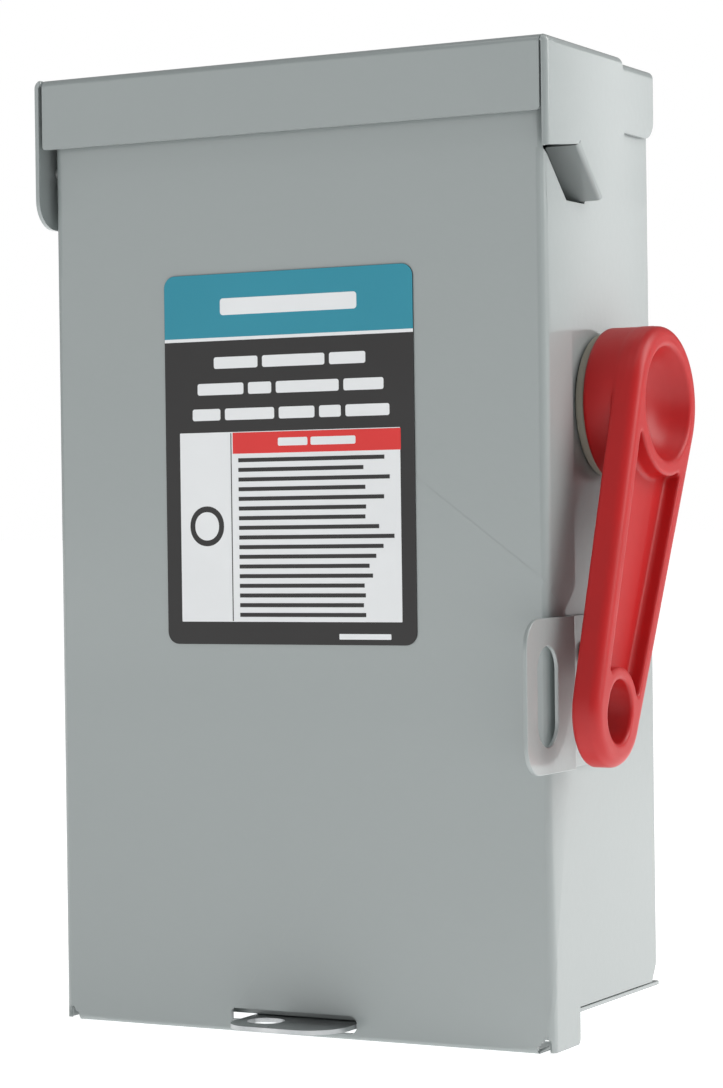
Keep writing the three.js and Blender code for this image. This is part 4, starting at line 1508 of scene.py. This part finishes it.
# ---------------------------------------------------------------- stage


def area_light(name, place, aim, size, power, colour=(1, 1, 1)):
    light = bpy.data.lights.new(name, "AREA")
    light.shape = "RECTANGLE"
    light.size, light.size_y = size
    light.energy = power
    light.color = colour
    lamp = bpy.data.objects.new(name, light)
    lamp.location = place
    lamp.rotation_euler = (Vector(aim) - Vector(place)).to_track_quat("-Z", "Y").to_euler()
    bpy.context.scene.collection.objects.link(lamp)
    return lamp


def build_stage(context):
    stage = context.scene.disconnect_stage
    scene = context.scene
    scene.view_settings.view_transform = "Standard"
    camera = bpy.data.cameras.new("camera")
    camera.lens = stage.lens
    camera.sensor_width = 36
    camera.clip_start = 0.05
    camera.clip_end = 60
    eye = bpy.data.objects.new("camera", camera)
    right, up, ahead = (
        Vector((0.88144, 0.47212, -0.01316)),
        Vector((0.00884, 0.01137, 0.99990)),
        Vector((-0.47222, 0.88146, -0.00585)),
    )
    turn = Matrix((right, up, -ahead)).transposed().to_4x4()
    eye.matrix_world = Matrix.Translation((0.41101, -0.80357, 0.00273)) @ turn
    scene.collection.objects.link(eye)
    scene.camera = eye

    floor_mesh = bmesh.new()
    bmesh.ops.create_circle(floor_mesh, cap_ends=True, segments=96, radius=40)
    data = bpy.data.meshes.new("floor")
    for vert in floor_mesh.verts:
        vert.co.z = CAD_BOX[0][2] - 0.0005
    floor_mesh.to_mesh(data)
    floor_mesh.free()
    floor = bpy.data.objects.new("floor", data)
    scene.collection.objects.link(floor)
    pale = bpy.data.materials.new("pale_floor")
    pale.use_nodes = True
    shader = pale.node_tree.nodes["Principled BSDF"]
    pale_values = {
        "Base Color": (0.9, 0.9, 0.9, 1),
        "Roughness": 0.9,
        "Specular IOR Level": 0.1,
        "Emission Color": (1, 1, 1, 1),
        "Emission Strength": 0.85,
    }
    for key, value in pale_values.items():
        shader.inputs[key].default_value = value
    data.materials.append(pale)

    world = bpy.data.worlds.new("surround")
    scene.world = world
    world.use_nodes = True
    tree = world.node_tree
    sky = tree.nodes["Background"]
    seen = add_node(tree, "ShaderNodeBackground", {"Color": (1, 1, 1, 1), "Strength": 1.0})
    sky.inputs["Color"].default_value = (0.98, 0.99, 1.0, 1)
    sky.inputs["Strength"].default_value = stage.sky
    path = add_node(tree, "ShaderNodeLightPath")
    shaders = {0: path.outputs["Is Camera Ray"], 1: sky.outputs[0], 2: seen.outputs[0]}
    mixed = add_node(tree, "ShaderNodeMixShader", shaders)
    tree.links.new(mixed.outputs[0], tree.nodes["World Output"].inputs[0])

    area_light("key", (1.1, 0.4, 0.8), (0, 0, 0), (0.8, 1.2), stage.key, (1, 0.975, 0.96))
    area_light("rim", (0.75, 1.53, 0.34), (0.08, -0.03, 0.11), (0.07, 0.45), stage.rim)
    area_light("top", (0.1, -0.35, 1.15), (0, -0.03, 0), (1.2, 0.8), stage.top)
    area_light("fill", (-0.6, -1.25, 0.25), (0, 0, 0), (0.8, 0.7), stage.fill)


# ---------------------------------------------------------------- add-on


def operator(name, label, doc, build):
    """An operator class for one piece or group of pieces."""

    def execute(self, context):
        build(context)
        return {"FINISHED"}

    return type(
        f"DISCONNECT_OT_{name}",
        (bpy.types.Operator,),
        {"bl_idname": f"disconnect.{name}", "bl_label": label, "__doc__": doc, "execute": execute},
    )


OPERATORS = [
    operator("stage", "Stage", "Sets up the camera, the pale floor and the studio light", build_stage),
    operator("cover", "Cover", "Folds the cover from its blank", build_cover),
    operator("label", "Label", "Lays the plain printed label on the cover", build_label),
    operator(
        "enclosure", "Enclosure", "Folds the back and side walls and adds the bottom end", build_enclosure
    ),
    operator("knockouts", "Knockouts", "Puts the punched discs in their holes", build_knockouts),
    operator("hood", "Hood", "Folds the rain hood with its lip and drip flange", build_hood),
    operator("hub", "Hub plate", "Closes the conduit opening with a plate and four screws", build_hub),
    operator(
        "side_tab", "Side padlock tab", "Makes the joggled tab by the handle and its rivets", build_side_tab
    ),
    operator(
        "bottom_tab", "Bottom padlock tab", "Makes the tab that comes through the cover", build_bottom_tab
    ),
    operator("handle", "Handle", "Moulds the handle with its dish, pocket and padlock eye", build_handle),
    operator("ring", "Spacer ring", "Turns the ring behind the handle", build_ring),
    operator("rods", "Pins", "Turns the hinge pin and the rotor pin", build_rods),
    operator("inside", "Inside", "Finishes the switch, its drive and the cover's fittings", build_inside),
    operator("screws", "Screws", "Sets the terminal, base and ground screws", build_screws),
]


class DISCONNECT_PT_panel(bpy.types.Panel):
    """Lists the sizes and the pieces"""

    bl_idname = "DISCONNECT_PT_panel"
    bl_label = "Disconnect box"
    bl_space_type = "VIEW_3D"
    bl_region_type = "UI"
    bl_category = "Disconnect"

    def draw(self, context):
        for attribute, group in SETTINGS.items():
            column = self.layout.box().column()
            for key in group.__annotations__:
                column.prop(getattr(context.scene, attribute), key)
        for made in OPERATORS:
            self.layout.operator(made.bl_idname)


def register():
    for group in SETTINGS.values():
        bpy.utils.register_class(group)
    for attribute, group in SETTINGS.items():
        setattr(bpy.types.Scene, attribute, PointerProperty(type=group))
    for made in OPERATORS:
        bpy.utils.register_class(made)
    bpy.utils.register_class(DISCONNECT_PT_panel)


def unregister():
    bpy.utils.unregister_class(DISCONNECT_PT_panel)
    for made in reversed(OPERATORS):
        bpy.utils.unregister_class(made)
    for attribute in SETTINGS:
        delattr(bpy.types.Scene, attribute)
    for group in SETTINGS.values():
        bpy.utils.unregister_class(group)


def main():
    register()
    for made in OPERATORS:
        name = made.bl_idname.split(".")[1]
        if getattr(bpy.ops.disconnect, name)() != {"FINISHED"}:
            raise RuntimeError(f"{made.bl_label} was not finished")


if __name__ == "__main__":
    main()
